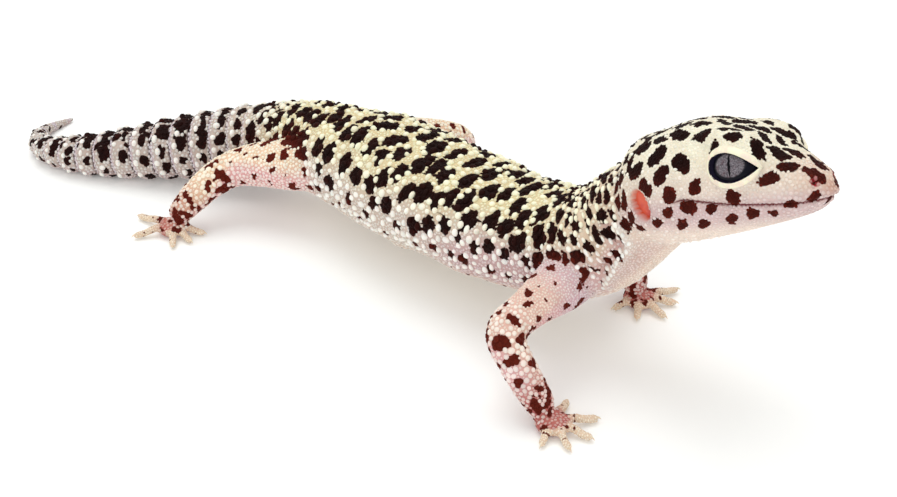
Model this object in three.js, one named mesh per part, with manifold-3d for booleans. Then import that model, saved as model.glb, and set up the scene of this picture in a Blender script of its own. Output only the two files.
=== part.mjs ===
// A leopard gecko at life size, standing on four feet with its head raised and its tail laid down.
// Millimetres. +X is the way the animal faces, +Y its left side, +Z up, and the floor is z = 0.
// The places below are measured from the point on the floor under the hips; ORIGIN then moves the
// whole animal so that the middle of its footprint is at the origin.

import * as THREE from 'three';
import { mergeVertices } from 'three/addons/utils/BufferGeometryUtils.js';
import Module from 'manifold-3d';

const wasm = await Module();
wasm.setup();

// ---------------------------------------------------------------- driving sizes

const GAP = 0.3; // air between neighbouring pieces
const BODY_POWER = 2.15; // how square a section is: 2 is an ellipse
const HEAD_POWER = 2.35;
const ORIGIN = { x: 15.45, y: -1.15 }; // middle of the footprint, from the hips

const SKIN = { color: 0xe9d8bd, roughness: 0.75, metalness: 0 };
const PALE_SKIN = { color: 0xf0d9cf, roughness: 0.75, metalness: 0 };
const TAIL_SKIN = { color: 0xb9adb4, roughness: 0.75, metalness: 0 };
const EYE = { color: 0x5a525c, roughness: 0.15, metalness: 0 };
const EARDRUM = { color: 0xc96a4e, roughness: 0.6, metalness: 0 };

// The spine, from inside the head to the tip of the tail. `at` runs along it, `half` is half the
// width, and `up` and `down` reach from the spine to the back and to the belly.
const BODY = [
  { at: 0, x: 77.5, y: 4.4, z: 32.6, half: 7.6, up: 8.4, down: 5.6 },
  { at: 8, x: 71.4, y: 2.9, z: 27.4, half: 8.4, up: 8.9, down: 8.0 },
  { at: 20, x: 62.2, y: 0.4, z: 19.9, half: 10.4, up: 8.0, down: 10.2 },
  { at: 32, x: 50.6, y: -0.2, z: 16.5, half: 11.4, up: 8.3, down: 9.9 },
  { at: 51, x: 31.5, y: -0.4, z: 15.3, half: 12.5, up: 9.0, down: 10.2 },
  { at: 68, x: 14.6, y: -0.2, z: 14.6, half: 12.0, up: 9.9, down: 10.2 },
  { at: 82, x: 0.8, y: 0, z: 13.4, half: 9.8, up: 9.2, down: 8.7 },
  { at: 93, x: -10, y: -1, z: 11.5, half: 7.5, up: 8.7, down: 6.8 },
  { at: 104, x: -20.2, y: -4.4, z: 9.2, half: 6.7, up: 7.8, down: 6.2 },
  { at: 118, x: -32, y: -12, z: 6.8, half: 6.1, up: 6.5, down: 6.0 },
  { at: 132, x: -43.3, y: -20.5, z: 4.7, half: 4.9, up: 4.7, down: 4.8 },
  { at: 144, x: -52.4, y: -26.2, z: 3.6, half: 3.7, up: 3.5, down: 3.6 },
  { at: 154, x: -61.4, y: -27.2, z: 2.5, half: 2.5, up: 2.3, down: 2.6 },
  { at: 162, x: -68.4, y: -22.6, z: 1.6, half: 1.5, up: 1.4, down: 1.7 },
  { at: 171.5, x: -70.9, y: -13.2, z: 0.6, half: 0.5, up: 0.5, down: 0.7 },
];
const BODY_CAPS = { start: 5, end: 0.8 };
const TAIL_RINGS = { from: 98, to: 166, pitch: 4.25, swell: 0.28 };
const CUTS_ALONG_BODY = [15, 97, 121, 146]; // neck | trunk | tail base | tail middle | tail end
const BODY_PIECES = ['neck', 'trunk', 'tail_base', 'tail_middle', 'tail_end'];

// The head in its own frame: +X to the snout, +Y left, +Z up, from a point between the ears at
// the level of the mouth. `belt` is the height at which the head is widest.
const HEAD_AT = { x: 76.2, y: 3.9, z: 30.4 };
const HEAD_TURN = { yaw: 1.6, pitch: 21.9, roll: -12 }; // degrees
const HEAD = [
  { at: -8, half: 7.6, top: 9.6, chin: -6.2, belt: 0.6 },
  { at: -4, half: 9.3, top: 11.0, chin: -6.6, belt: 0.6 },
  { at: 0, half: 10.4, top: 11.8, chin: -6.5, belt: 0.8 },
  { at: 5, half: 11.0, top: 12.6, chin: -6.0, belt: 0.9 },
  { at: 11, half: 10.2, top: 12.9, chin: -5.1, belt: 1.1 },
  { at: 17, half: 8.4, top: 11.7, chin: -4.0, belt: 1.3 },
  { at: 21.5, half: 6.6, top: 8.4, chin: -3.1, belt: 1.2 },
  { at: 25, half: 5.3, top: 6.1, chin: -2.2, belt: 1.0 },
  { at: 28.4, half: 4.4, top: 5.2, chin: -1.3, belt: 1.0 },
];
const HEAD_CAPS = { start: 4.6, end: 5 };
const BROW = { x: 15.4, y: 5.5, z: 9.7, long: 5.2, wide: 2.4, high: 2.1, droop: 12 };
const EYEBALL = { x: 16.0, y: 4.7, z: 5.7, radius: 3.9 };
const GAZE = { forward: 20, up: 8 }; // degrees from straight out to the side
const LID = { thick: 0.65, long: 7.4, high: 4.4 };
const NOSTRIL = { x: 26.9, y: 3.2, z: 3.0, radius: 0.6 };
const EAR = { x: 1.5, y: 10.9, z: 1.1, wide: 1.7, deep: 1.9, high: 2.6 };
const EAR_INSET = 1.25; // from the rim of the ear in to the eardrum
// Side outline of the lower jaw, in the head's frame: along the mouth, then down behind it
const JAW = [[34, 0.4], [28, 0.2], [24, 0.1], [16, 0.6], [8.6, 1.7], [5.5, 0.2], [2.5, -9], [34, -9]];

// Legs: `at` counts along the limb, and `half` and `deep` are half its two thicknesses
const FRONT_RIGHT = {
  name: 'front_right',
  stations: [
    { at: 0, x: 63.8, y: -3.5, z: 16.8, half: 5.4, deep: 5.4 },
    { at: 6, x: 64.6, y: -9.5, z: 16.2, half: 4.9, deep: 4.5 },
    { at: 14, x: 64.8, y: -17.5, z: 15.3, half: 3.6, deep: 3.5 },
    { at: 21, x: 64.8, y: -22.9, z: 13.3, half: 3.4, deep: 3.4 },
    { at: 27, x: 68.2, y: -23.7, z: 9.2, half: 3.0, deep: 2.9 },
    { at: 34, x: 72.2, y: -23, z: 3.9, half: 2.4, deep: 2.0 },
    { at: 37, x: 73.8, y: -22.9, z: 2.4, half: 2.1, deep: 1.4 },
  ],
  joint: 20.5,
  palm: { x: 75.1, y: -22.9, heading: -9 },
  toes: [[111, 7.2], [58, 7.8], [15, 7.0], [-25, 6.7], [-69, 5.8]],
};
const FRONT_LEFT = {
  name: 'front_left',
  stations: [
    { at: 0, x: 62.4, y: 3.5, z: 17.6, half: 5.2, deep: 5.0 },
    { at: 6, x: 60.2, y: 9.6, z: 16.8, half: 4.8, deep: 4.2 },
    { at: 13, x: 56, y: 14.8, z: 15, half: 3.8, deep: 3.4 },
    { at: 19, x: 54.4, y: 17.4, z: 12.4, half: 3.4, deep: 3.2 },
    { at: 25, x: 57.6, y: 16.6, z: 8.2, half: 3.0, deep: 2.9 },
    { at: 31, x: 61.4, y: 15.1, z: 3.9, half: 2.6, deep: 2.1 },
    { at: 34, x: 62.4, y: 14.8, z: 2.4, half: 2.2, deep: 1.4 },
  ],
  joint: 18.5,
  palm: { x: 62.8, y: 14.8, heading: -3 },
  toes: [[-109, 5.8], [-56, 6.1], [-8, 6.8], [38, 6.8], [71, 8.6]],
};
const HIND_RIGHT = {
  name: 'hind_right',
  stations: [
    { at: 0, x: 2.4, y: -3.2, z: 13.4, half: 5.6, deep: 5.2 },
    { at: 6, x: -1.5, y: -7.6, z: 12.8, half: 5.4, deep: 5.0 },
    { at: 14, x: -8.6, y: -11.4, z: 11.6, half: 4.6, deep: 4.2 },
    { at: 20, x: -13, y: -14.6, z: 10.2, half: 3.8, deep: 3.6 },
    { at: 26, x: -14.4, y: -19.6, z: 8.4, half: 3.3, deep: 3.2 },
    { at: 33, x: -15.3, y: -25.4, z: 4.8, half: 2.4, deep: 2.1 },
    { at: 36, x: -15.9, y: -27, z: 2.6, half: 2.1, deep: 1.5 },
  ],
  joint: 20.5,
  palm: { x: -16.5, y: -27.3, heading: -60 },
  toes: [[30, 6.7], [-4, 6.4], [-38, 6.8], [-115, 7.9], [-170, 9.4]],
};
const HIND_LEFT = {
  name: 'hind_left',
  stations: [
    { at: 0, x: 0, y: 3.2, z: 13.4, half: 5.6, deep: 5.2 },
    { at: 6, x: 3, y: 8.4, z: 13.4, half: 5.2, deep: 4.8 },
    { at: 14, x: 8.4, y: 14.6, z: 13.9, half: 4.3, deep: 4.0 },
    { at: 20, x: 12, y: 19.4, z: 13.3, half: 3.5, deep: 3.3 },
    { at: 26, x: 11, y: 23.4, z: 10.0, half: 3.0, deep: 2.9 },
    { at: 34, x: 6, y: 25.8, z: 4.7, half: 2.3, deep: 2.1 },
    { at: 37, x: 5.2, y: 26.3, z: 2.7, half: 2.0, deep: 1.5 },
  ],
  joint: 21.5,
  palm: { x: 6.4, y: 26.6, heading: 22 },
  toes: [[-64, 6.0], [-18, 6.4], [14, 7.2], [44, 6.6], [98, 5.6]],
};
const LEG_CAPS = { start: 4, end: 1.6 };
const PALM = { long: 3.2, wide: 3.0, high: 1.6, z: 1.3 };
// A toe in fractions of its length: it leaves the palm, arches at the knuckle, comes down on its
// pad and ends in a short hooked claw
const TOE = [
  { at: 0, z: 1.3, half: 0.95, deep: 0.9 },
  { at: 0.4, z: 1.75, half: 0.85, deep: 0.85 },
  { at: 0.72, z: 0.85, half: 0.72, deep: 0.75 },
  { at: 0.88, z: 0.85, half: 0.5, deep: 0.55 },
  { at: 1.0, z: 0.45, half: 0.3, deep: 0.3 },
];

// How finely each part is divided: rows along it, points round it, and rows in a rounded end
const GRID = {
  capRows: 3,
  trunkRows: 19,
  rowsPerTailRing: 2,
  tailTipRows: 8,
  body: 16,
  head: { rows: 21, round: 22 },
  leg: { rows: 12, round: 10 },
  toe: { rows: 7, round: 6 },
};

// ---------------------------------------------------------------- curves

// A smooth value through stations: a cubic between each two, its slopes from their neighbours
function through(stations, key, at) {
  const last = stations.length - 1;
  let i = 0;
  while (i < last - 1 && at > stations[i + 1].at) i += 1;
  const slope = (k) => {
    const a = stations[Math.max(k - 1, 0)];
    const b = stations[Math.min(k + 1, last)];
    return (b[key] - a[key]) / (b.at - a.at);
  };
  const [a, b] = [stations[i], stations[i + 1]];
  const span = b.at - a.at;
  const t = (at - a.at) / span;
  const rise = b[key] - a[key];
  const [m0, m1] = [slope(i) * span, slope(i + 1) * span];
  return a[key] + t * (m0 + t * (3 * rise - 2 * m0 - m1 + t * (m0 + m1 - 2 * rise)));
}

const pointAt = (stations, at) => new THREE.Vector3(
  through(stations, 'x', at), through(stations, 'y', at), through(stations, 'z', at));

// The direction of travel at a station, and the two directions across it
function frameAt(stations, at, upright) {
  const step = 0.05 * (stations[1].at - stations[0].at);
  const travel = pointAt(stations, at + step).sub(pointAt(stations, at - step)).normalize();
  const side = new THREE.Vector3().crossVectors(travel, upright).normalize();
  return { travel, side, top: new THREE.Vector3().crossVectors(side, travel) };
}

// Rows from end to end, closer together where the rounded ends turn in
function rowPlaces(from, to, caps, rows) {
  const { capRows } = GRID;
  const turnIn = (k) => 1 - Math.cos((k / capRows) * (Math.PI / 2));
  const middle = rows - 2 * capRows;
  const straight = to - from - caps.start - caps.end;
  const places = [];
  for (let k = 0; k < capRows; k += 1) places.push(from + caps.start * turnIn(k));
  for (let k = 0; k <= middle; k += 1) places.push(from + caps.start + (straight * k) / middle);
  for (let k = capRows - 1; k >= 0; k -= 1) places.push(to - caps.end * turnIn(k));
  return places;
}

// The body's rows: even along the trunk, then a few to each ring of the tail
function bodyRowPlaces() {
  const { from, to, pitch } = TAIL_RINGS;
  const end = BODY[BODY.length - 1].at;
  const places = rowPlaces(BODY[0].at, from, { start: BODY_CAPS.start, end: 0 }, GRID.trunkRows)
    .slice(0, -GRID.capRows);
  const ringRows = Math.round((to - from) / pitch) * GRID.rowsPerTailRing;
  for (let k = 1; k < ringRows; k += 1) places.push(from + (pitch * k) / GRID.rowsPerTailRing);
  const tip = rowPlaces(to, end, { start: 0, end: BODY_CAPS.end }, GRID.tailTipRows);
  return places.concat(tip.slice(GRID.capRows));
}

// 1 along the middle, falling to 0 at both ends as a quarter round does
function rounding(at, from, to, caps) {
  const inStart = Math.max(0, 1 - (at - from) / caps.start);
  const inEnd = Math.max(0, 1 - (to - at) / caps.end);
  return Math.sqrt(Math.max(0, 1 - inStart ** 2)) * Math.sqrt(Math.max(0, 1 - inEnd ** 2));
}

// Coordinates round a squarish oval: power 2 is an ellipse, more is squarer
function oval(angle, power) {
  const bend = (value) => Math.sign(value) * Math.abs(value) ** (2 / power);
  return [bend(Math.cos(angle)), bend(Math.sin(angle))];
}

// ---------------------------------------------------------------- solids

function solid(geometry) {
  geometry.deleteAttribute('normal');
  geometry.deleteAttribute('uv');
  const merged = mergeVertices(geometry, 1e-4);
  return new wasm.Manifold(new wasm.Mesh({
    numProp: 3,
    vertProperties: new Float32Array(merged.attributes.position.array),
    triVerts: new Uint32Array(merged.index.array),
  }));
}

// A closed skin over rows and angles: a sphere's grid with every point moved to place(row, angle)
function skin(rows, round, place) {
  const geometry = new THREE.SphereGeometry(1, round, rows);
  const { position } = geometry.attributes;
  for (let row = 0; row <= rows; row += 1) {
    for (let k = 0; k <= round; k += 1) {
      const angle = ((k % round) / round) * 2 * Math.PI;
      const point = place(row, angle);
      position.setXYZ(row * (round + 1) + k, point.x, point.y, point.z);
    }
  }
  return solid(geometry);
}

function ellipsoid(radii, place, round = 10, rows = 7) {
  const geometry = new THREE.SphereGeometry(1, round, rows);
  geometry.scale(radii.x, radii.y, radii.z);
  geometry.applyMatrix4(place);
  return solid(geometry);
}

const movedTo = (x, y, z) => new THREE.Matrix4().makeTranslation(x, y, z);

// ---------------------------------------------------------------- neck, trunk and tail

// How much a tail segment swells between the two creases that bound it
function tailRing(place) {
  const { from, to, pitch, swell } = TAIL_RINGS;
  const fade = THREE.MathUtils.smoothstep(place, from, from + 8)
    * (1 - THREE.MathUtils.smoothstep(place, to - 8, to));
  return swell * fade * (Math.abs(Math.sin((Math.PI * (place - from)) / pitch)) * 2 - 1);
}

function body(grow = 0) {
  const [from, to] = [BODY[0].at, BODY[BODY.length - 1].at];
  const places = bodyRowPlaces();
  const upright = new THREE.Vector3(0, 0, 1);
  return skin(places.length - 1, GRID.body, (row, angle) => {
    const place = places[row];
    const { side, top } = frameAt(BODY, place, upright);
    const [across, high] = oval(angle, BODY_POWER);
    const round = rounding(place, from, to, BODY_CAPS);
    const more = grow + tailRing(place);
    const reach = through(BODY, high > 0 ? 'up' : 'down', place) + more;
    return pointAt(BODY, place)
      .addScaledVector(side, across * round * (through(BODY, 'half', place) + more))
      .addScaledVector(top, high * round * reach);
  });
}

// A thin slab square to the spine, wider than the body
function slabAcross(place, stations = BODY, radius = 18) {
  const { travel } = frameAt(stations, place, new THREE.Vector3(0, 0, 1));
  const turn = new THREE.Quaternion().setFromUnitVectors(new THREE.Vector3(0, 1, 0), travel);
  const geometry = new THREE.CylinderGeometry(radius, radius, GAP, 12);
  geometry.applyQuaternion(turn);
  const point = pointAt(stations, place);
  geometry.translate(point.x, point.y, point.z);
  return solid(geometry);
}

// ---------------------------------------------------------------- head

const degrees = THREE.MathUtils.degToRad;
const headFrame = new THREE.Matrix4()
  .makeRotationZ(degrees(HEAD_TURN.yaw))
  .multiply(new THREE.Matrix4().makeRotationY(-degrees(HEAD_TURN.pitch)))
  .multiply(new THREE.Matrix4().makeRotationX(degrees(HEAD_TURN.roll)))
  .setPosition(HEAD_AT.x, HEAD_AT.y, HEAD_AT.z);
const inHead = (matrix) => headFrame.clone().multiply(matrix);

function skull(grow = 0) {
  const [back, snout] = [HEAD[0].at, HEAD[HEAD.length - 1].at];
  const places = rowPlaces(-snout, -back, HEAD_CAPS, GRID.head.rows);
  return skin(GRID.head.rows, GRID.head.round, (row, angle) => {
    const place = -places[row];
    const [across, high] = oval(angle, HEAD_POWER);
    const round = rounding(-place, -snout, -back, HEAD_CAPS);
    const belt = through(HEAD, 'belt', place);
    const reach = high > 0
      ? through(HEAD, 'top', place) - belt + grow
      : belt - through(HEAD, 'chin', place) + grow;
    return new THREE.Vector3(
      place + (row === 0 ? grow : 0),
      across * round * (through(HEAD, 'half', place) + grow),
      belt + high * round * reach,
    ).applyMatrix4(headFrame);
  });
}

// Things that the head has on both sides: side is +1 on its left and -1 on its right
function eyeFrame(side) {
  const turn = new THREE.Matrix4().makeRotationZ(side * degrees(90 - GAZE.forward));
  const lift = new THREE.Matrix4().makeRotationY(-degrees(GAZE.up));
  return inHead(movedTo(EYEBALL.x, side * EYEBALL.y, EYEBALL.z).multiply(turn).multiply(lift));
}

function eyeSphere(side, radius, round = 13, rows = 8) {
  return ellipsoid({ x: radius, y: radius, z: radius }, eyeFrame(side), round, rows);
}

// The slot between the lids: an oval bar from the eyeball's middle outward
function lidOpening(side) {
  const reach = EYEBALL.radius * 2;
  const geometry = new THREE.CylinderGeometry(1, 1, reach, 16);
  geometry.scale(LID.high / 2, 1, LID.long / 2);
  geometry.rotateZ(-Math.PI / 2);
  geometry.translate(reach / 2, 0, 0);
  geometry.applyMatrix4(eyeFrame(side).multiply(new THREE.Matrix4().makeRotationX(Math.PI / 2)));
  return solid(geometry);
}

function brow(side) {
  const turn = new THREE.Matrix4().makeRotationZ(side * degrees(-6));
  const droop = new THREE.Matrix4().makeRotationY(degrees(BROW.droop));
  const place = inHead(movedTo(BROW.x, side * BROW.y, BROW.z).multiply(turn).multiply(droop));
  return ellipsoid({ x: BROW.long, y: BROW.wide, z: BROW.high }, place);
}

function nostril(side) {
  const place = inHead(movedTo(NOSTRIL.x, side * NOSTRIL.y, NOSTRIL.z));
  return ellipsoid({ x: NOSTRIL.radius, y: NOSTRIL.radius, z: NOSTRIL.radius }, place, 6, 4);
}

function earHollow(side) {
  const place = inHead(movedTo(EAR.x, side * EAR.y, EAR.z));
  return ellipsoid({ x: EAR.wide, y: EAR.deep, z: EAR.high }, place, 8, 6);
}

function eardrum(side) {
  const place = inHead(movedTo(EAR.x, side * (EAR.y - EAR_INSET), EAR.z));
  return ellipsoid({ x: EAR.wide * 0.5, y: GAP, z: EAR.high * 0.6 }, place, 8, 4);
}

// Everything below the mouth, as a bar right across the head. Grown by the gap it cuts the
// upper head free of the jaw.
function jawBlock(grow = 0) {
  const shape = new THREE.Shape(JAW.map(([x, z]) => new THREE.Vector2(x - grow, z + grow)));
  const wide = 30;
  const geometry = new THREE.ExtrudeGeometry(shape, { depth: wide, bevelEnabled: false });
  geometry.translate(0, 0, -wide / 2);
  geometry.rotateX(Math.PI / 2);
  geometry.applyMatrix4(headFrame);
  return solid(geometry);
}

function headWhole() {
  let whole = skull();
  for (const side of [1, -1]) {
    whole = whole.add(brow(side)).add(eyeSphere(side, EYEBALL.radius + GAP + LID.thick));
  }
  for (const side of [1, -1]) {
    whole = whole.subtract(eyeSphere(side, EYEBALL.radius + GAP));
    whole = whole.subtract(lidOpening(side));
    whole = whole.subtract(earHollow(side)).subtract(nostril(side));
  }
  return whole;
}

// ---------------------------------------------------------------- legs and feet

function leg(part, grow = 0) {
  const { stations } = part;
  const [from, to] = [stations[0].at, stations[stations.length - 1].at];
  const places = rowPlaces(from, to, LEG_CAPS, GRID.leg.rows);
  // the plane of the bent limb gives each section its two directions
  const [root, bend, end] = [from, part.joint, to].map((place) => pointAt(stations, place));
  const across = new THREE.Vector3().crossVectors(bend.clone().sub(root), end.sub(bend)).normalize();
  return skin(GRID.leg.rows, GRID.leg.round, (row, angle) => {
    const place = places[row];
    const { side, top } = frameAt(stations, place, across);
    const round = rounding(place, from, to, LEG_CAPS);
    return pointAt(stations, place)
      .addScaledVector(side, Math.cos(angle) * round * (through(stations, 'half', place) + grow))
      .addScaledVector(top, Math.sin(angle) * round * (through(stations, 'deep', place) + grow));
  });
}

function toe(palm, heading, long) {
  const direction = new THREE.Vector3(Math.cos(degrees(heading)), Math.sin(degrees(heading)), 0);
  const stations = TOE.map((part) => ({
    ...part,
    at: part.at * long,
    x: palm.x + direction.x * part.at * long,
    y: palm.y + direction.y * part.at * long,
  }));
  const caps = { start: 0.8, end: 0.3 };
  const places = rowPlaces(0, long, caps, GRID.toe.rows);
  return skin(GRID.toe.rows, GRID.toe.round, (row, angle) => {
    const place = places[row];
    const { side, top } = frameAt(stations, place, new THREE.Vector3(0, 0, 1));
    const round = rounding(place, 0, long, caps);
    return pointAt(stations, place)
      .addScaledVector(side, Math.cos(angle) * round * through(stations, 'half', place))
      .addScaledVector(top, Math.sin(angle) * round * through(stations, 'deep', place));
  });
}

function foot(part) {
  const turn = new THREE.Matrix4().makeRotationZ(degrees(part.palm.heading));
  const place = movedTo(part.palm.x, part.palm.y, PALM.z).multiply(turn);
  let whole = ellipsoid({ x: PALM.long, y: PALM.wide, z: PALM.high }, place, 12, 6);
  for (const [heading, long] of part.toes) {
    whole = whole.add(toe(part.palm, heading, long));
  }
  return whole;
}

// ---------------------------------------------------------------- putting the animal together

// Everything under the floor, cut off so that soles, claws and tail stand on small flats
function underFloor() {
  const size = 400;
  const geometry = new THREE.BoxGeometry(size, size, size);
  geometry.translate(0, 0, -size / 2);
  return solid(geometry);
}

// The largest of the bodies that a cut leaves, without the crumbs
function largest(whole) {
  return whole.decompose().sort((a, b) => b.volume() - a.volume())[0];
}

function addMesh(group, name, whole, look) {
  const mesh = whole.getMesh();
  const geometry = new THREE.BufferGeometry();
  geometry.setAttribute('position', new THREE.BufferAttribute(mesh.vertProperties, 3));
  geometry.setIndex(new THREE.BufferAttribute(mesh.triVerts, 1));
  geometry.computeVertexNormals();
  const node = new THREE.Mesh(geometry, new THREE.MeshStandardMaterial(look));
  node.name = name;
  group.add(node);
}

function addHead(group) {
  const whole = headWhole();
  addMesh(group, 'head', largest(whole.subtract(jawBlock(GAP))), SKIN);
  addMesh(group, 'lower_jaw', largest(whole.intersect(jawBlock())), PALE_SKIN);
  for (const [name, side] of [['left', 1], ['right', -1]]) {
    addMesh(group, `eye_${name}`, eyeSphere(side, EYEBALL.radius), EYE);
    addMesh(group, `eardrum_${name}`, eardrum(side), EARDRUM);
  }
}

function addBody(group, floor) {
  let rest = body().subtract(floor).subtract(skull(GAP));
  for (const place of CUTS_ALONG_BODY) rest = rest.subtract(slabAcross(place));
  const pieces = rest.decompose().filter((piece) => piece.volume() > 1);
  // from the head backward, which is from the highest X to the lowest
  pieces.sort((a, b) => b.boundingBox().max[0] - a.boundingBox().max[0]);
  BODY_PIECES.forEach((name, k) => {
    addMesh(group, name, pieces[k], name.startsWith('tail') ? TAIL_SKIN : SKIN);
  });
}

function addLeg(group, part, floor, bodyGrown) {
  const limb = largest(leg(part).subtract(bodyGrown));
  const slab = slabAcross(part.joint, part.stations, 9);
  const [upper, lower] = limb.subtract(slab).decompose().filter((piece) => piece.volume() > 1)
    .sort((a, b) => b.boundingBox().max[2] - a.boundingBox().max[2]);
  addMesh(group, `${part.name}_leg_upper`, upper, SKIN);
  addMesh(group, `${part.name}_leg_lower`, lower, PALE_SKIN);
  const sole = foot(part).subtract(leg(part, GAP)).subtract(floor);
  addMesh(group, `${part.name}_foot`, largest(sole), PALE_SKIN);
}

const gecko = new THREE.Group();
gecko.position.set(-ORIGIN.x, -ORIGIN.y, 0);
const floor = underFloor();
const bodyGrown = body(GAP);
addHead(gecko);
addBody(gecko, floor);
for (const part of [FRONT_RIGHT, FRONT_LEFT, HIND_RIGHT, HIND_LEFT]) {
  addLeg(gecko, part, floor, bodyGrown);
}

export default gecko;
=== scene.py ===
"""The looks of a life-size leopard gecko: one hide over the whole animal, with its scales, eyes,
lids, eardrums and claws, on a pale floor.

Shapes are worked out in millimetres, from the point on the floor under the hips, and Shape.piece
turns them into metres in the frame of the solids.
"""

import logging
import math
from dataclasses import dataclass
from enum import Enum

import bpy
import numpy as np
from mathutils import Matrix, Vector
from mathutils.kdtree import KDTree

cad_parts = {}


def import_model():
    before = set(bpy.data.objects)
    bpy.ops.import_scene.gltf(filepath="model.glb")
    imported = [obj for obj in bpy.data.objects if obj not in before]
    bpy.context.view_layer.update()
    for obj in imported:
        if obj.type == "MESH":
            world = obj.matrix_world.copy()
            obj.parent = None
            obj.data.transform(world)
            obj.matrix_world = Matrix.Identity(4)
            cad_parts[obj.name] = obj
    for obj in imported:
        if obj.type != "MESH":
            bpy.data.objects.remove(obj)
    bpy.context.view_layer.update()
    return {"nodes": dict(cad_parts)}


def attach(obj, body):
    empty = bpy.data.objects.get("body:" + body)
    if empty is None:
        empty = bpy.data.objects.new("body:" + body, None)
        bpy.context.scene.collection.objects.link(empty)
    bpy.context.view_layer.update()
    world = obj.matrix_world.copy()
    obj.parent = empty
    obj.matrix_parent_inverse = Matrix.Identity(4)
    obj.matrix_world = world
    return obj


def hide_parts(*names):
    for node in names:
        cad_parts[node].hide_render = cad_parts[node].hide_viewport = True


log = logging.getLogger("gecko")

MM = 0.001
ORIGIN = np.array([15.45, -1.15, 0.0])  # the middle of the footprint, from the hips
UP = np.array([0.0, 0.0, 1.0])
HIDE_DEPTH = 0.3  # how far the hide lies inside the solids, which is the depth of the scales

# The spine, from inside the head to the tip of the tail: place along it, x, y, z, half the
# width, then the reach to the back and to the belly
SPINE = (
    (0, 77.5, 4.4, 32.6, 7.6, 8.4, 5.6),
    (8, 71.4, 2.9, 27.4, 8.4, 8.9, 8.0),
    (20, 62.2, 0.4, 19.9, 10.4, 8.0, 10.2),
    (32, 50.6, -0.2, 16.5, 11.4, 8.3, 9.9),
    (51, 31.5, -0.4, 15.3, 12.5, 9.0, 10.2),
    (68, 14.6, -0.2, 14.6, 12.0, 9.9, 10.2),
    (82, 0.8, 0, 13.4, 9.8, 9.2, 8.7),
    (93, -10, -1, 11.5, 7.5, 8.7, 6.8),
    (104, -20.2, -4.4, 9.2, 6.7, 7.8, 6.2),
    (118, -32, -12, 6.8, 6.1, 6.5, 6.0),
    (132, -43.3, -20.5, 4.7, 4.9, 4.7, 4.8),
    (144, -52.4, -26.2, 3.6, 3.7, 3.5, 3.6),
    (154, -61.4, -27.2, 2.5, 2.5, 2.3, 2.6),
    (162, -68.4, -22.6, 1.6, 1.5, 1.4, 1.7),
    (171.5, -70.9, -13.2, 0.6, 0.5, 0.5, 0.7),
)
# The head in its own frame: place along it, half the width, top, chin, height of the widest part
HEAD = (
    (-8, 7.6, 9.6, -6.2, 0.6),
    (-4, 9.3, 11.0, -6.6, 0.6),
    (0, 10.4, 11.8, -6.5, 0.8),
    (5, 11.0, 12.6, -6.0, 0.9),
    (11, 10.2, 12.9, -5.1, 1.1),
    (17, 8.4, 11.7, -4.0, 1.3),
    (21.5, 6.6, 8.4, -3.1, 1.2),
    (25, 5.3, 6.1, -2.2, 1.0),
    (28.4, 4.4, 5.2, -1.3, 1.0),
)


def smooth(value: np.ndarray, low: float, high: float) -> np.ndarray:
    """Rises from 0 at low to 1 at high as 3t^2 - 2t^3, and falls if low is above high."""
    t = np.clip((value - low) / (high - low), 0, 1)
    return t * t * (3 - 2 * t)


def unit(vectors: np.ndarray) -> np.ndarray:
    """Each vector divided by its length."""
    return vectors / np.maximum(np.linalg.norm(vectors, axis=-1, keepdims=True), 1e-9)


def dot(a: np.ndarray, b: np.ndarray) -> np.ndarray:
    """The products of vectors, pair by pair."""
    return np.sum(a * b, axis=-1)


def hump(offset: np.ndarray, width: float) -> np.ndarray:
    """A bell, exp(-(offset / width)^2)."""
    return np.exp(-((offset / width) ** 2))


def ripple(points: np.ndarray, wavelength: float, seed: int) -> np.ndarray:
    """A smooth uneven value of about -1 to 1: the mean of nine plane waves in random directions.

    Args:
        points: Places, in millimetres.
        wavelength: The waves' length, in millimetres.
        seed: Picks the directions and phases.

    Returns:
        One value for each place.
    """
    draw = np.random.default_rng(seed)
    ways = unit(draw.normal(size=(9, 3)))
    phases = draw.uniform(0, 2 * np.pi, 9)
    waves = np.sin(points @ ways.T * (2 * np.pi / wavelength) + phases)
    return waves.sum(axis=1) / 3.0


def linear(red: int, green: int, blue: int) -> np.ndarray:
    """A colour given as it shows on a screen, 0 to 255, as linear light."""
    c = np.array([red, green, blue]) / 255.0
    return np.where(c <= 0.04045, c / 12.92, ((c + 0.055) / 1.055) ** 2.4)


def mixed(a: np.ndarray, b: np.ndarray, share: np.ndarray) -> np.ndarray:
    """Colours a moved towards colour b by share, point by point."""
    return a + (b - a) * np.asarray(share)[..., None]


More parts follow.
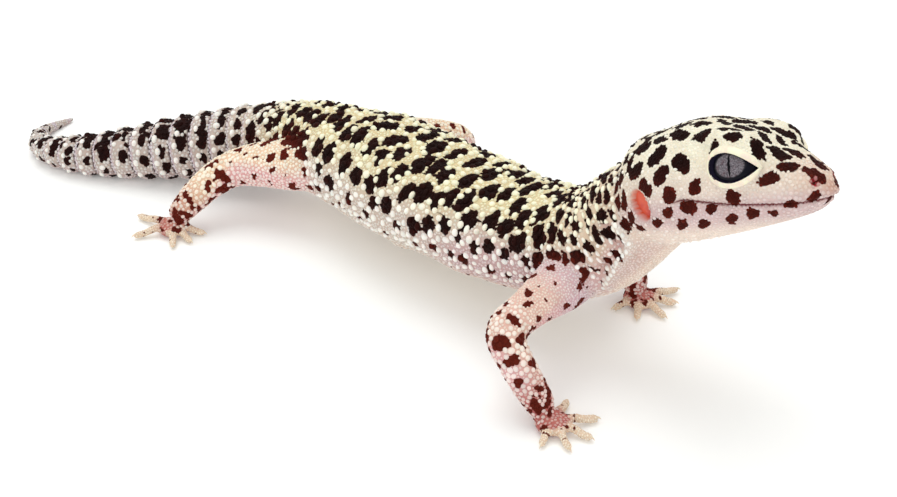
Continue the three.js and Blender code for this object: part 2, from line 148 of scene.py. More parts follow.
@dataclass
class Shape:
    """Points and triangles of a surface, in millimetres, with values at its points.

    Attributes:
        points: Places, one row each.
        triangles: Three point numbers in each row, anticlockwise from outside.
        values: Named numbers, vectors or colours, one for each point.
    """

    points: np.ndarray
    triangles: np.ndarray
    values: dict

    @staticmethod
    def joined(shapes: list) -> "Shape":
        """Several shapes as one; only values that all of them have are kept."""
        starts = np.cumsum([0] + [len(s.points) for s in shapes[:-1]])
        names = set(shapes[0].values).intersection(*[set(s.values) for s in shapes])
        return Shape(
            np.concatenate([s.points for s in shapes]),
            np.concatenate([s.triangles + k for s, k in zip(shapes, starts)]),
            {n: np.concatenate([s.values[n] for s in shapes]) for n in sorted(names)},
        )

    @staticmethod
    def tube(rings: np.ndarray) -> "Shape":
        """A closed skin over rings of points, with a fan at each end.

        Args:
            rings: Points by ring and place round it, in the sense that Course.rings gives.

        Returns:
            The closed shape.
        """
        rows, around = rings.shape[:2]
        number = np.arange(rows * around).reshape(rows, around)
        a, b = number[:-1], np.roll(number[:-1], -1, axis=1)
        c, d = np.roll(number[1:], -1, axis=1), number[1:]
        sides = np.stack([a, d, c, a, c, b], axis=-1).reshape(-1, 3)
        first, last = rows * around, rows * around + 1
        start = np.stack([np.full(around, first), number[0], np.roll(number[0], -1)], axis=-1)
        end = np.stack([np.full(around, last), np.roll(number[-1], -1), number[-1]], axis=-1)
        poles = np.stack([rings[0].mean(axis=0), rings[-1].mean(axis=0)])
        points = np.concatenate([rings.reshape(-1, 3), poles])
        return Shape(points, np.concatenate([sides, start, end]), {})

    @staticmethod
    def ellipsoid(radii: tuple, rows: int = 24, around: int = 32) -> "Shape":
        """An ellipsoid about its own middle, as rings along its x axis."""
        turn = np.linspace(0, np.pi, rows + 1)[1:-1, None]
        angle = np.arange(around) * (2 * np.pi / around)
        x = -np.cos(turn) * radii[0] + 0 * angle
        y = np.sin(turn) * np.cos(angle) * radii[1]
        z = np.sin(turn) * np.sin(angle) * -radii[2]
        shape = Shape.tube(np.stack([x, y, z], axis=-1))
        shape.points[-2] = (-radii[0], 0, 0)
        shape.points[-1] = (radii[0], 0, 0)
        return shape

    def placed(self, turn: np.ndarray, at: np.ndarray) -> "Shape":
        """The shape turned by a 3 by 3 matrix and then moved."""
        return Shape(self.points @ turn.T + at, self.triangles, self.values)

    def normals(self) -> np.ndarray:
        """The normal at each point, from the faces round it, weighed by their areas."""
        a, b, c = (self.points[self.triangles[:, k]] for k in range(3))
        across = np.cross(b - a, c - a)
        total = np.stack([
            sum(np.bincount(self.triangles[:, k], across[:, axis], len(self.points))
                for k in range(3))
            for axis in range(3)
        ], axis=-1)
        return unit(total)

    def relaxed(self, rounds: int, share: np.ndarray) -> "Shape":
        """Each point moved towards the mean of its neighbours by share, several times over."""
        edges = np.concatenate([self.triangles[:, [0, 1]], self.triangles[:, [1, 2]],
                                self.triangles[:, [2, 0]]])
        count = np.maximum(np.bincount(edges[:, 0], minlength=len(self.points)), 1)
        points = self.points.copy()
        for _ in range(rounds):
            mean = np.stack([
                np.bincount(edges[:, 0], points[edges[:, 1], axis], len(points)) / count
                for axis in range(3)
            ], axis=-1)
            points += (mean - points) * share[:, None]
        return Shape(points, self.triangles, self.values)

    def mesh(self, name: str, scale: float = MM, origin: np.ndarray = ORIGIN) -> bpy.types.Mesh:
        """The shape as a Blender mesh with its values as attributes.

        Args:
            name: The mesh's name.
            scale: Metres for each of the shape's units.
            origin: The point of the shape that becomes the mesh's origin.

        Returns:
            The mesh.
        """
        mesh = bpy.data.meshes.new(name)
        mesh.vertices.add(len(self.points))
        mesh.loops.add(self.triangles.size)
        mesh.polygons.add(len(self.triangles))
        mesh.vertices.foreach_set("co", ((self.points - origin) * scale).astype("f").ravel())
        mesh.loops.foreach_set("vertex_index", self.triangles.astype("i").ravel())
        mesh.polygons.foreach_set("loop_start", np.arange(len(self.triangles), dtype="i") * 3)
        mesh.polygons.foreach_set("use_smooth", np.ones(len(self.triangles), dtype=bool))
        mesh.update(calc_edges=True)
        for key, value in self.values.items():
            if key == "OFBake":
                layer = mesh.uv_layers.new(name=key)
                layer.uv.foreach_set("vector", value[self.triangles.ravel()].astype("f").ravel())
            elif value.ndim == 1:
                layer = mesh.attributes.new(key, "FLOAT", "POINT")
                layer.data.foreach_set("value", value.astype("f"))
            else:
                layer = mesh.attributes.new(key, "FLOAT_VECTOR", "POINT")
                layer.data.foreach_set("vector", value.astype("f").ravel())
        return mesh

    def piece(self, name: str, slot: str, finish: bpy.types.Material) -> bpy.types.Object:
        """The shape as a finished piece that rides on the model's one body."""
        piece = bpy.data.objects.new(name, self.mesh(name))
        bpy.context.scene.collection.objects.link(piece)
        piece.data.materials.append(finish)
        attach(piece, "root")
        log.info("%s: %d triangles", name, len(self.triangles))
        return piece


@dataclass(frozen=True)
class Course:
    """A smooth course through stations, such as a spine, a limb or a toe.

    Attributes:
        stations: Rows of place along the course, x, y, z, then half sizes of the section.
        upright: The direction that the sections keep their tops towards.
        power: How square a section is; 2 is an ellipse.
    """

    stations: tuple
    upright: tuple = (0.0, 0.0, 1.0)
    power: float = 2.0

    @property
    def ends(self) -> tuple:
        """The first and the last place."""
        return self.stations[0][0], self.stations[-1][0]

    def value(self, column: int, at: np.ndarray) -> np.ndarray:
        """A column's value at places, by a cubic between each two stations.

        The slope at a station is that of the line between its two neighbours.
        """
        table = np.array(self.stations, float)
        places, values = table[:, 0], table[:, column]
        before = np.maximum(np.arange(len(places)) - 1, 0)
        after = np.minimum(np.arange(len(places)) + 1, len(places) - 1)
        slopes = (values[after] - values[before]) / (places[after] - places[before])
        at = np.asarray(at, float)
        i = np.clip(np.searchsorted(places, at, side="right") - 1, 0, len(places) - 2)
        span = places[i + 1] - places[i]
        t = (at - places[i]) / span
        rise = values[i + 1] - values[i]
        m0, m1 = slopes[i] * span, slopes[i + 1] * span
        return values[i] + t * (m0 + t * (3 * rise - 2 * m0 - m1 + t * (m0 + m1 - 2 * rise)))

    def point(self, at: np.ndarray) -> np.ndarray:
        """The points of the course at places."""
        return np.stack([self.value(column, at) for column in (1, 2, 3)], axis=-1)

    def frame(self, at: np.ndarray) -> tuple:
        """The direction of travel at places, and the two directions across it."""
        step = 0.05 * (self.stations[1][0] - self.stations[0][0])
        at = np.asarray(at, float)
        travel = unit(self.point(at + step) - self.point(at - step))
        side = unit(np.cross(travel, np.array(self.upright)))
        return travel, side, np.cross(side, travel)

    def halves(self, at: np.ndarray, high: np.ndarray) -> tuple:
        """Half the section across, and its reach upward or downward as high is above 0 or not."""
        across = self.value(4, at)
        up = self.value(5, at)
        down = self.value(6, at) if len(self.stations[0]) > 6 else up
        return across, np.where(high > 0, up, down)

    def rings(self, places: np.ndarray, around: int, grow: np.ndarray) -> np.ndarray:
        """Rings of points: the section's oval at each place, grown by some millimetres."""
        angle = np.arange(around) * (2 * np.pi / around)
        bend = 2 / self.power
        across = np.sign(np.cos(angle)) * np.abs(np.cos(angle)) ** bend
        high = np.sign(np.sin(angle)) * np.abs(np.sin(angle)) ** bend
        at = places[:, None] + 0 * angle
        half, reach = self.halves(at, high[None, :] + 0 * at)
        _, side, top = self.frame(places)
        round_off = self.rounding(places)[:, None]
        grow = np.broadcast_to(np.asarray(grow, float), places.shape)[:, None]
        wide = across * np.maximum(half + grow, 0.05) * round_off
        tall = high * np.maximum(reach + grow, 0.05) * round_off
        return (self.point(places)[:, None] + wide[..., None] * side[:, None]
                + tall[..., None] * top[:, None])

    def rounding(self, places: np.ndarray) -> np.ndarray:
        """1 all along; a course with rounded ends says how they turn in."""
        return np.ones_like(places)

    def nearest(self, points: np.ndarray) -> np.ndarray:
        """The place on the course nearest to each point."""
        first, last = self.ends
        samples = np.linspace(first, last, int((last - first) / 0.5) + 2)
        line = self.point(samples)
        travel, _, _ = self.frame(samples)
        best = np.empty(len(points), int)
        for start in range(0, len(points), 20000):
            part = points[start:start + 20000]
            far = (line ** 2).sum(axis=1) - 2 * part @ line.T
            best[start:start + 20000] = np.argmin(far, axis=1)
        along = dot(points - line[best], travel[best])
        return np.clip(samples[best] + np.clip(along, -0.5, 0.5), first, last)

    def seen_from(self, points: np.ndarray) -> dict:
        """Where points lie on the course.

        Returns:
            place, the nearest place; off, millimetres outside the section; angle, radians from
            the side towards the top; travel, the direction of the course there; reach, the
            section's radius in that direction.
        """
        at = self.nearest(points)
        travel, side, top = self.frame(at)
        offset = points - self.point(at)
        across, high = dot(offset, side), dot(offset, top)
        half, reach = self.halves(at, high)
        ratio = ((np.abs(across) / half) ** self.power
                 + (np.abs(high) / reach) ** self.power) ** (1 / self.power)
        flat = np.hypot(across, high)
        beyond = np.maximum(np.abs(dot(offset, travel)) - 0.5, 0)
        return {
            "place": at,
            "off": flat * (1 - 1 / np.maximum(ratio, 1e-6)) + beyond,
            "angle": np.arctan2(high, across),
            "travel": travel,
            "reach": np.minimum(half, reach),
        }


@dataclass(frozen=True)
class Capped(Course):
    """A course whose ends are rounded off.

    Attributes:
        caps: How much of the first and of the last end turns in, in millimetres.
    """

    caps: tuple = (4.0, 1.6)

    def rounding(self, places: np.ndarray) -> np.ndarray:
        """1 along the middle, falling to 0 at both ends as a quarter round does."""
        first, last = self.ends
        start = np.clip(1 - (places - first) / self.caps[0], 0, 0.999)
        end = np.clip(1 - (last - places) / self.caps[1], 0, 0.999)
        return np.sqrt(1 - start ** 2) * np.sqrt(1 - end ** 2)

    def places(self, step: float) -> np.ndarray:
        """Places about a step apart, closer together in the rounded ends."""
        first, last = self.ends
        middle = np.arange(first + self.caps[0], last - self.caps[1], step)
        turn = 1 - np.cos(np.linspace(0, np.pi / 2, 8))[:-1]
        return np.concatenate([first + self.caps[0] * turn, middle,
                               last - self.caps[1] * turn[::-1]])


@dataclass(frozen=True)
class Toe:
    """One toe: where it leaves the palm, its heading in degrees and its length."""

    root: tuple
    heading: float
    long: float

    @property
    def direction(self) -> np.ndarray:
        """The way the toe points, on the level."""
        turn = math.radians(self.heading)
        return np.array([math.cos(turn), math.sin(turn), 0.0])

    @property
    def course(self) -> Capped:
        """The toe's course: out of the palm, over the knuckle and down on its pad."""
        shape = ((0, 1.3, 0.95, 0.9), (0.38, 1.62, 0.82, 0.82), (0.7, 0.95, 0.75, 0.74),
                 (0.86, 0.82, 0.74, 0.72), (0.97, 0.78, 0.7, 0.66))
        rows = tuple(
            (share * self.long, self.root[0] + self.direction[0] * share * self.long,
             self.root[1] + self.direction[1] * share * self.long, z, half, deep)
            for share, z, half, deep in shape
        )
        return Capped(rows, caps=(0.8, 0.62))

    def claw(self) -> Shape:
        """A hooked cone: rings that shrink along a curve from the toe's end down to the floor."""
        share = np.linspace(0, 1, 9)
        start = np.array(self.root[:2] + (0.0,)) + self.direction * (self.long * 0.97 - 0.5)
        path = start + self.direction * (share[:, None] * 0.9)
        path[:, 2] = 1.05 - 0.5 * share ** 2
        radius = 0.2 * (1 - share ** 1.6) + 0.03
        angle = np.arange(10) * (2 * np.pi / 10)
        side = np.cross(self.direction, UP)
        travel = unit(np.gradient(path, axis=0))
        top = np.cross(side, travel)
        rings = (path[:, None] + np.cos(angle)[None, :, None] * radius[:, None, None] * side * 0.8
                 + np.sin(angle)[None, :, None] * radius[:, None, None] * top[:, None])
        return Shape.tube(rings)


@dataclass(frozen=True)
class Limb:
    """A leg and its foot.

    Attributes:
        name: Which leg it is.
        stations: Place along the limb, x, y, z and half its two thicknesses.
        joint: The place of the elbow or knee.
        palm: The palm's x and y.
        toes: Each toe's heading in degrees and its length.
    """

    name: str
    stations: tuple
    joint: float
    palm: tuple
    heading: float
    toes: tuple

    @property
    def course(self) -> Capped:
        """The limb's course; the plane that it bends in gives its sections their directions."""
        plain = Course(self.stations)
        first, bend, last = plain.point(np.array([self.stations[0][0], self.joint,
                                                  self.stations[-1][0]]))
        across = unit(np.cross(bend - first, last - bend))
        return Capped(self.stations, upright=tuple(across), caps=(4.0, 1.6))

    @property
    def digits(self) -> list:
        """The toes."""
        return [Toe(self.palm, heading, long) for heading, long in self.toes]

    def shapes(self) -> list:
        """The lofts of the limb, the palm and the toes, inside the solids by the hide's depth."""
        course = self.course
        places = course.places(0.6)
        thin = HIDE_DEPTH * (1 - 1.3 * smooth(places, self.joint + 4, course.ends[1] - 4))
        parts = [Shape.tube(course.rings(places, 28, -thin))]
        turn = math.radians(self.heading)
        spin = np.array([[math.cos(turn), -math.sin(turn), 0],
                         [math.sin(turn), math.cos(turn), 0], [0, 0, 1]])
        palm = Shape.ellipsoid((3.1, 2.85, 1.45))
        parts.append(palm.placed(spin, np.array([self.palm[0], self.palm[1], 1.3])))
        for toe in self.digits:
            parts.append(Shape.tube(toe.course.rings(toe.course.places(0.4), 16, -0.04)))
        return parts


LIMBS = (
    Limb("front_right",
         ((0, 63.8, -3.5, 16.8, 5.4, 5.4), (6, 64.6, -9.5, 16.2, 4.9, 4.5),
          (14, 64.8, -17.5, 15.3, 3.6, 3.5), (21, 64.8, -22.9, 13.3, 3.4, 3.4),
          (27, 68.2, -23.7, 9.2, 3.0, 2.9), (34, 72.2, -23, 3.9, 2.4, 2.0),
          (37, 73.8, -22.9, 2.4, 2.1, 1.4)),
         20.5, (75.1, -22.9), -9,
         ((111, 7.2), (58, 7.8), (15, 7.0), (-25, 6.7), (-69, 5.8))),
    Limb("front_left",
         ((0, 62.4, 3.5, 17.6, 5.2, 5.0), (6, 60.2, 9.6, 16.8, 4.8, 4.2),
          (13, 56, 14.8, 15, 3.8, 3.4), (19, 54.4, 17.4, 12.4, 3.4, 3.2),
          (25, 57.6, 16.6, 8.2, 3.0, 2.9), (31, 61.4, 15.1, 3.9, 2.6, 2.1),
          (34, 62.4, 14.8, 2.4, 2.2, 1.4)),
         18.5, (62.8, 14.8), -3,
         ((-109, 5.8), (-56, 6.1), (-8, 6.8), (38, 6.8), (71, 8.6))),
    Limb("hind_right",
         ((0, 2.4, -3.2, 13.4, 5.6, 5.2), (6, -1.5, -7.6, 12.8, 5.4, 5.0),
          (14, -8.6, -11.4, 11.6, 4.6, 4.2), (20, -13, -14.6, 10.2, 3.8, 3.6),
          (26, -14.4, -19.6, 8.4, 3.3, 3.2), (33, -15.3, -25.4, 4.8, 2.4, 2.1),
          (36, -15.9, -27, 2.6, 2.1, 1.5)),
         20.5, (-16.5, -27.3), -60,
         ((30, 6.7), (-4, 6.4), (-38, 6.8), (-115, 7.9), (-170, 9.4))),
    Limb("hind_left",
         ((0, 0, 3.2, 13.4, 5.6, 5.2), (6, 3, 8.4, 13.4, 5.2, 4.8),
          (14, 8.4, 14.6, 13.9, 4.3, 4.0), (20, 12, 19.4, 13.3, 3.5, 3.3),
          (26, 11, 23.4, 10.0, 3.0, 2.9), (34, 6, 25.8, 4.7, 2.3, 2.1),
          (37, 5.2, 26.3, 2.7, 2.0, 1.5)),
         21.5, (6.4, 26.6), 22,
         ((-64, 6.0), (-18, 6.4), (14, 7.2), (44, 6.6), (98, 5.6))),
)


@dataclass(frozen=True)
class Torso(Capped):
    """Neck, trunk and tail as one course along the spine.

    Attributes:
        ring_start: Where the tail's rings begin along the spine.
        ring_end: Where they end.
        pitch: The length of a ring.
    """

    ring_start: float = 98.0
    ring_end: float = 166.0
    pitch: float = 4.25

    def ring_phase(self, place: np.ndarray) -> np.ndarray:
        """How far along its ring a place is, 0 at the crease in front to 1 at the one behind."""
        return ((place - self.ring_start) / self.pitch) % 1.0

    def in_rings(self, place: np.ndarray) -> np.ndarray:
        """1 where the tail has rings, fading to 0 at both ends."""
        start, end = self.ring_start, self.ring_end
        return smooth(place, start, start + 8) * (1 - smooth(place, end - 8, end))

    def swell(self, place: np.ndarray) -> np.ndarray:
        """How much a ring stands out: fullest behind its middle, with a sharp crease behind it."""
        phase = self.ring_phase(place)
        barrel = np.sin(np.pi * phase ** 1.25) ** 0.55
        small = 0.35 + 0.65 * smooth(place, 166, 130)
        return self.in_rings(place) * (1.05 * barrel - 0.65) * small

    def shape(self) -> Shape:
        """The loft of the neck, trunk and tail, inside the solids by the hide's depth."""
        places = self.places(0.45)
        grow = -HIDE_DEPTH * smooth(self.value(4, places), 0.3, 3.0)
        return Shape.tube(self.rings(places, 72, grow))


TORSO = Torso(SPINE, power=2.15, caps=(5.0, 0.8))


def turned(axis: str, degrees: float) -> np.ndarray:
    """The 3 by 3 matrix of a turn about an axis."""
    return np.array(Matrix.Rotation(math.radians(degrees), 3, axis))


@dataclass(frozen=True)
class Head:
    """The head, in its own frame: +X to the snout, +Y left, +Z up, from between the ears.

    Attributes:
        at: The frame's origin.
        yaw, pitch, roll: How the frame is turned, in degrees.
        power: How square a section is.
        globe: The eyeball's middle, for the left eye.
        globe_radius: The eyeball's radius.
        lid_radius: How far the lids stand from the eyeball's middle.
    """

    at: tuple = (76.2, 3.9, 30.4)
    yaw: float = 1.6
    pitch: float = 21.9
    roll: float = -12.0
    power: float = 2.35
    globe: tuple = (16.0, 4.7, 5.7)
    globe_radius: float = 4.15
    lid_radius: float = 4.75
    gaze_forward: float = 20.0
    gaze_up: float = 8.0

    @property
    def turn(self) -> np.ndarray:
        """The head's directions as the columns of a matrix."""
        return turned("Z", self.yaw) @ turned("Y", -self.pitch) @ turned("X", self.roll)

    def inward(self, points: np.ndarray) -> np.ndarray:
        """Points given in the hips' frame, in the head's frame."""
        return (points - np.array(self.at)) @ self.turn

    def outward(self, points: np.ndarray) -> np.ndarray:
        """Points given in the head's frame, in the hips' frame."""
        return points @ self.turn.T + np.array(self.at)

    @property
    def profile(self) -> Course:
        """The head's outline as a course along its x axis, with the reaches from the belt."""
        rows = tuple((a, a, 0.0, belt, half, top - belt, belt - chin)
                     for a, half, top, chin, belt in HEAD)
        return Course(rows, power=self.power)

    def loft(self) -> Shape:
        """The head's rounded body, without brows and eyes, inside the solids by the hide's depth."""
        first, last = HEAD[0][0], HEAD[-1][0]
        capped = Capped(self.profile.stations, power=self.power, caps=(5.0, 4.6))
        turn = np.linspace(0, np.pi / 2, 12)[:-1]
        places = np.concatenate([
            first + 5.0 * (1 - np.cos(turn)), np.arange(first + 5.0, last - 4.6, 0.5),
            (last - 4.6 * (1 - np.cos(turn)))[::-1],
        ])
        shape = Shape.tube(capped.rings(places, 72, -HIDE_DEPTH))
        return shape.placed(self.turn, np.array(self.at))

    def eye_turn(self, side: int) -> np.ndarray:
        """An eye's directions in the head's frame: out of the eye, forward along the face, up."""
        away = turned("Z", side * (90 - self.gaze_forward)) @ turned("Y", -self.gaze_up)
        return away @ np.diag([1.0, -side, 1.0])

    def eye_at(self, side: int) -> np.ndarray:
        """The middle of an eyeball in the head's frame."""
        return np.array([self.globe[0], side * self.globe[1], self.globe[2]])

    def in_eye(self, local: np.ndarray, side: int) -> np.ndarray:
        """Points of the head's frame in an eye's frame."""
        return (local - self.eye_at(side)) @ self.eye_turn(side)

    def out_of_eye(self, points: np.ndarray, side: int) -> np.ndarray:
        """Points of an eye's frame in the hips' frame."""
        return self.outward(points @ self.eye_turn(side).T + self.eye_at(side))

    def shapes(self) -> list:
        """The head's loft with its brows and the bulges round the eyes."""
        parts = [self.loft()]
        for side in (1, -1):
            ball = Shape.ellipsoid((self.lid_radius,) * 3)
            parts.append(ball.placed(self.turn, self.outward(self.eye_at(side))))
            brow = Shape.ellipsoid((5.2, 2.2, 1.85))
            tilt = self.turn @ turned("Z", -6 * side) @ turned("Y", 12)
            parts.append(brow.placed(tilt, self.outward(np.array([15.4, side * 5.5, 9.7]))))
        return parts

    def mouth_height(self, x: np.ndarray) -> np.ndarray:
        """The height of the mouth's line along the head: level in front, rising to the corner."""
        line = Course(((2.5, 0, 0, -3.0), (5.5, 0, 0, 0.2), (8.6, 0, 0, 1.7), (12, 0, 0, 1.35),
                       (16, 0, 0, 0.7), (24, 0, 0, 0.1), (28, 0, 0, 0.2), (34, 0, 0, 0.4)))
        return line.value(3, x)


HEAD_FORM = Head()


@dataclass(frozen=True)
class EyeOpening:
    """The slot between the lids, in the eye's frame: round behind, with a sharp front corner.

    Attributes:
        half_long: Half its length.
        upper, lower: Each edge's greatest height, the peak's place as a share of half_long, how
            square the rear is and how straight the front is.
        droop: How far the front corner hangs.
    """

    half_long: float = 3.62
    upper: tuple = (2.1, -0.28, 2.4, 1.1)
    lower: tuple = (2.27, -0.14, 2.0, 0.9)
    droop: float = 0.41

    def half_height(self, share: np.ndarray, above: np.ndarray) -> np.ndarray:
        """How far the edge is from the middle line, above it or below it.

        Behind the peak it is the superellipse (1 - u^n)^(1/n), with u from 0 at the peak to 1
        at the rear end; in front it falls as (1 - t^1.7)^q, with t 1 at the front corner.
        """
        x = np.clip(share, -1, 1)
        result = np.zeros(np.broadcast(x, above).shape)
        for chosen, (high, peak, power, fall) in ((above, self.upper), (~above, self.lower)):
            u = np.clip((peak - x) / (1 + peak), 0, 1)
            t = np.clip((x - peak) / (1 - peak), 0, 1)
            form = high * (1 - u ** power) ** (1 / power) * (1 - t ** 1.7) ** fall
            result = np.where(chosen, form, result)
        return result

    def middle(self, share: np.ndarray) -> np.ndarray:
        """The height of the slot's middle line, which sinks towards the front corner."""
        return -self.droop * ((np.clip(share, -1, 1) + 1) / 2) ** 2

    def outline(self, count: int) -> np.ndarray:
        """Points (forward, up) round the slot, from the front corner over the top."""
        turn = np.arange(count) * (2 * np.pi / count)
        x = np.cos(turn)
        above = np.sin(turn) >= 0
        v = self.middle(x) + np.where(above, 1, -1) * self.half_height(x, above)
        return np.stack([x * self.half_long, v], axis=-1)

    def inside(self, forward: np.ndarray, up: np.ndarray) -> np.ndarray:
        """How many millimetres inside the slot's edge points are; below 0 outside."""
        result = np.full(len(forward), -9.0)
        near = np.nonzero(np.hypot(forward, up) < 8)[0]
        places = np.stack([forward[near], up[near]], axis=-1)
        edge = self.outline(160)
        far = np.sqrt(((places[:, None] - edge[None]) ** 2).sum(axis=-1)).min(axis=1)
        share = places[:, 0] / self.half_long
        rise = places[:, 1] - self.middle(share)
        within = (np.abs(share) < 1) & (np.abs(rise) < self.half_height(share, rise >= 0))
        result[near] = np.where(within, far, -far)
        return result


OPENING = EyeOpening()


@dataclass
class Lay:
    """Where each point of the hide lies on the animal.

    Attributes:
        points: The points.
        local: The points in the head's frame.
        torso, limbs: Where they lie along the spine and along each leg.
        on_head, on_torso, on_limb, on_foot: Shares that add up to 1.
        limb_place: Place on the nearest leg.
        toe_share: How far along the nearest toe, 0 to 1.
        height: 1 on the back, 0 on the sides, -1 on the belly.
        travel: The direction from head to tail tip, or down a limb.
    """

    points: np.ndarray

    def __post_init__(self) -> None:
        """Works out every place from the points."""
        p = self.points
        self.local = HEAD_FORM.inward(p)
        self.torso = TORSO.seen_from(p)
        profile = HEAD_FORM.profile.seen_from(self.local)
        head_off = profile["off"]
        head_off = np.where(self.local[:, 0] < -5, head_off + (-5 - self.local[:, 0]) * 0.8,
                            head_off)
        front = self.local[:, 0] > 6
        head_off = np.where(front, np.minimum(head_off, -0.5), head_off)
        self.limbs = [limb.course.seen_from(p) for limb in LIMBS]
        limb_off = np.stack([w["off"] for w in self.limbs])
        self.nearest_limb = np.argmin(limb_off, axis=0)
        feet = self._feet()
        offs = np.stack([head_off, self.torso["off"], limb_off.min(axis=0), feet["off"]])
        share = np.exp(-np.clip(offs - offs.min(axis=0), 0, 30) / 0.9)
        share /= share.sum(axis=0)
        self.on_head, self.on_torso, self.on_limb, self.on_foot = share
        pick = (self.nearest_limb, np.arange(len(p)))
        self.limb_place = np.stack([w["place"] for w in self.limbs])[pick]
        self.limb_length = np.array([l.stations[-1][0] for l in LIMBS])[self.nearest_limb]
        limb_travel = np.stack([w["travel"] for w in self.limbs])[pick]
        self.toe_share = feet["share"]
        self.height = np.sin(self.torso["angle"])
        head_travel = -HEAD_FORM.turn[:, 0]
        self.travel = unit(self.on_head[:, None] * head_travel
                           + self.on_torso[:, None] * self.torso["travel"]
                           + self.on_limb[:, None] * limb_travel
                           + self.on_foot[:, None] * feet["travel"])

    def _feet(self) -> dict:
        """The nearest toe or palm of each point: how far outside it, the share along and its way."""
        p = self.points
        best = np.full(len(p), 1e6)
        share = np.zeros(len(p))
        travel = np.tile(np.array([1.0, 0, 0]), (len(p), 1))
        for limb in LIMBS:
            for toe in limb.digits:
                start = np.array([toe.root[0], toe.root[1], 1.2])
                along = np.clip((p - start) @ toe.direction, 0, toe.long)
                off = np.linalg.norm(p - start - along[:, None] * toe.direction, axis=1)
                off = off - np.where(along < 1, 2.4, 0.9)
                closer = off < best
                best = np.where(closer, off, best)
                share = np.where(closer, along / toe.long, share)
                travel = np.where(closer[:, None], toe.direction, travel)
        return {"off": best, "share": share, "travel": travel}


class Hide:
    """The one skin of the whole animal.

    Attributes:
        voxel: The fineness at which the lofts are fused, in millimetres.
        most: The most triangles that the finished hide may have.
    """

    voxel = 0.34
    most = 188000

    def fused(self) -> Shape:
        """The lofts of the head, torso, legs and feet as one closed skin."""
        parts = HEAD_FORM.shapes() + [TORSO.shape()]
        for limb in LIMBS:
            parts += limb.shapes()
        whole = Shape.joined(parts)
        whole.points[:, 2] = np.maximum(whole.points[:, 2], -1.0)
        mesh = whole.mesh("fuse", 1.0, np.zeros(3))
        piece = bpy.data.objects.new("fuse", mesh)
        bpy.context.scene.collection.objects.link(piece)
        remesh = piece.modifiers.new("fuse", "REMESH")
        remesh.mode = "VOXEL"
        remesh.voxel_size = self.voxel
        return taken(piece)

    def slimmed(self, shape: Shape, keep: np.ndarray) -> Shape:
        """Fewer triangles where keep is 0, and as many as now where it is 1."""
        piece = bpy.data.objects.new("slim", shape.mesh("slim", 1.0, np.zeros(3)))
        bpy.context.scene.collection.objects.link(piece)
        group = piece.vertex_groups.new(name="loose")
        levels = np.round((1 - keep) * 4).astype(int)
        for level in range(1, 5):
            group.add(np.nonzero(levels == level)[0].tolist(), level / 4, "REPLACE")
        slim = piece.modifiers.new("slim", "DECIMATE")
        slim.ratio = self.most / len(shape.triangles)
        slim.vertex_group = "loose"
        slim.vertex_group_factor = 0.6
        return taken(piece)

    def build(self) -> Shape:
        """The finished hide with its folds."""
        skin = self.fused()
        log.info("fused: %d triangles", len(skin.triangles))
        lay = Lay(skin.points)
        soft = 0.5 * (1 - 0.7 * lay.on_foot)
        skin = skin.relaxed(14, soft)
        skin = self.folded(skin, Lay(skin.points))
        lay = Lay(skin.points)
        face = lay.on_head * smooth(lay.local[:, 0], -2, 2)
        keep = np.clip(face + lay.on_foot, 0, 1)
        skin = self.slimmed(skin, keep)
        skin.points[:, 2] = np.maximum(skin.points[:, 2], 0.03)
        return skin

    def folded(self, skin: Shape, lay: Lay) -> Shape:
        """The folds of the neck and flanks, and the forms of the face, pressed into the skin."""
        normals = skin.normals()
        rings = TORSO.swell(lay.torso["place"]) * lay.on_torso
        rise = self.neck_folds(lay) + self.face_forms(lay) + self.flank_folds(lay) + rings
        points = skin.points + normals * rise[:, None]
        local = HEAD_FORM.inward(points)
        for side in (1, -1):
            eye = HEAD_FORM.in_eye(local, side)
            near = (eye[:, 0] > 0.5) & (np.linalg.norm(eye, axis=1) < 7.5)
            slot = OPENING.inside(eye[:, 1], eye[:, 2])
            lid = smooth(slot, -2.6, -0.8) * near
            hole = smooth(slot, -0.2, 0.25) * near
            far = np.maximum(np.linalg.norm(eye, axis=1), 0.1)
            reach = far + (HEAD_FORM.lid_radius - far) * lid
            reach = reach + (3.2 - reach) * hole
            pulled = HEAD_FORM.out_of_eye(eye * (reach / far)[:, None], side)
            points = np.where((lid > 0)[:, None], pulled, points)
        return Shape(points, skin.triangles, {})

    def neck_folds(self, lay: Lay) -> np.ndarray:
        """Upright folds on the sides of the neck, and the fold across the throat."""
        place = lay.torso["place"]
        sideways = hump(lay.height - 0.05, 0.6)
        zone = smooth(place, 5, 10) * (1 - smooth(place, 22, 28)) * sideways
        waves = np.sin(2 * np.pi * (place + 0.7 * ripple(lay.points, 9.0, 3)) / 2.9)
        fold = self.gular(lay.local)
        aside = 0.35 + 0.65 * smooth(np.abs(lay.local[:, 1]), 1.5, 5.0)
        throat = aside * (0.85 * hump(fold, 0.6) - 0.65 * hump(fold + 1.4, 0.7))
        return (zone * 0.32 * waves * (1 - lay.on_head) + throat) * (1 - lay.on_limb)

    def flank_folds(self, lay: Lay) -> np.ndarray:
        """Soft unevenness of the flanks, with a fold along the edge of the belly."""
        place = lay.torso["place"]
        trunk = smooth(place, 24, 34) * (1 - smooth(place, 84, 94)) * lay.on_torso
        edge = hump(lay.height + 0.62, 0.12)
        uneven = 0.22 * ripple(lay.points, 11.0, 5) + 0.12 * ripple(lay.points, 5.0, 6)
        return trunk * (0.25 * edge + uneven) - 0.1 * trunk

    def face_forms(self, lay: Lay) -> np.ndarray:
        """The hollows and swellings of the face, the mouth's groove, the nostrils and the ears."""
        x, y, z = lay.local.T
        wide = np.abs(y)

        def at(cx: float, cy: float, cz: float, size: float) -> np.ndarray:
            """A bell round a place on both sides of the head."""
            far = np.sqrt((x - cx) ** 2 + (wide - cy) ** 2 + (z - cz) ** 2)
            return hump(far, size)

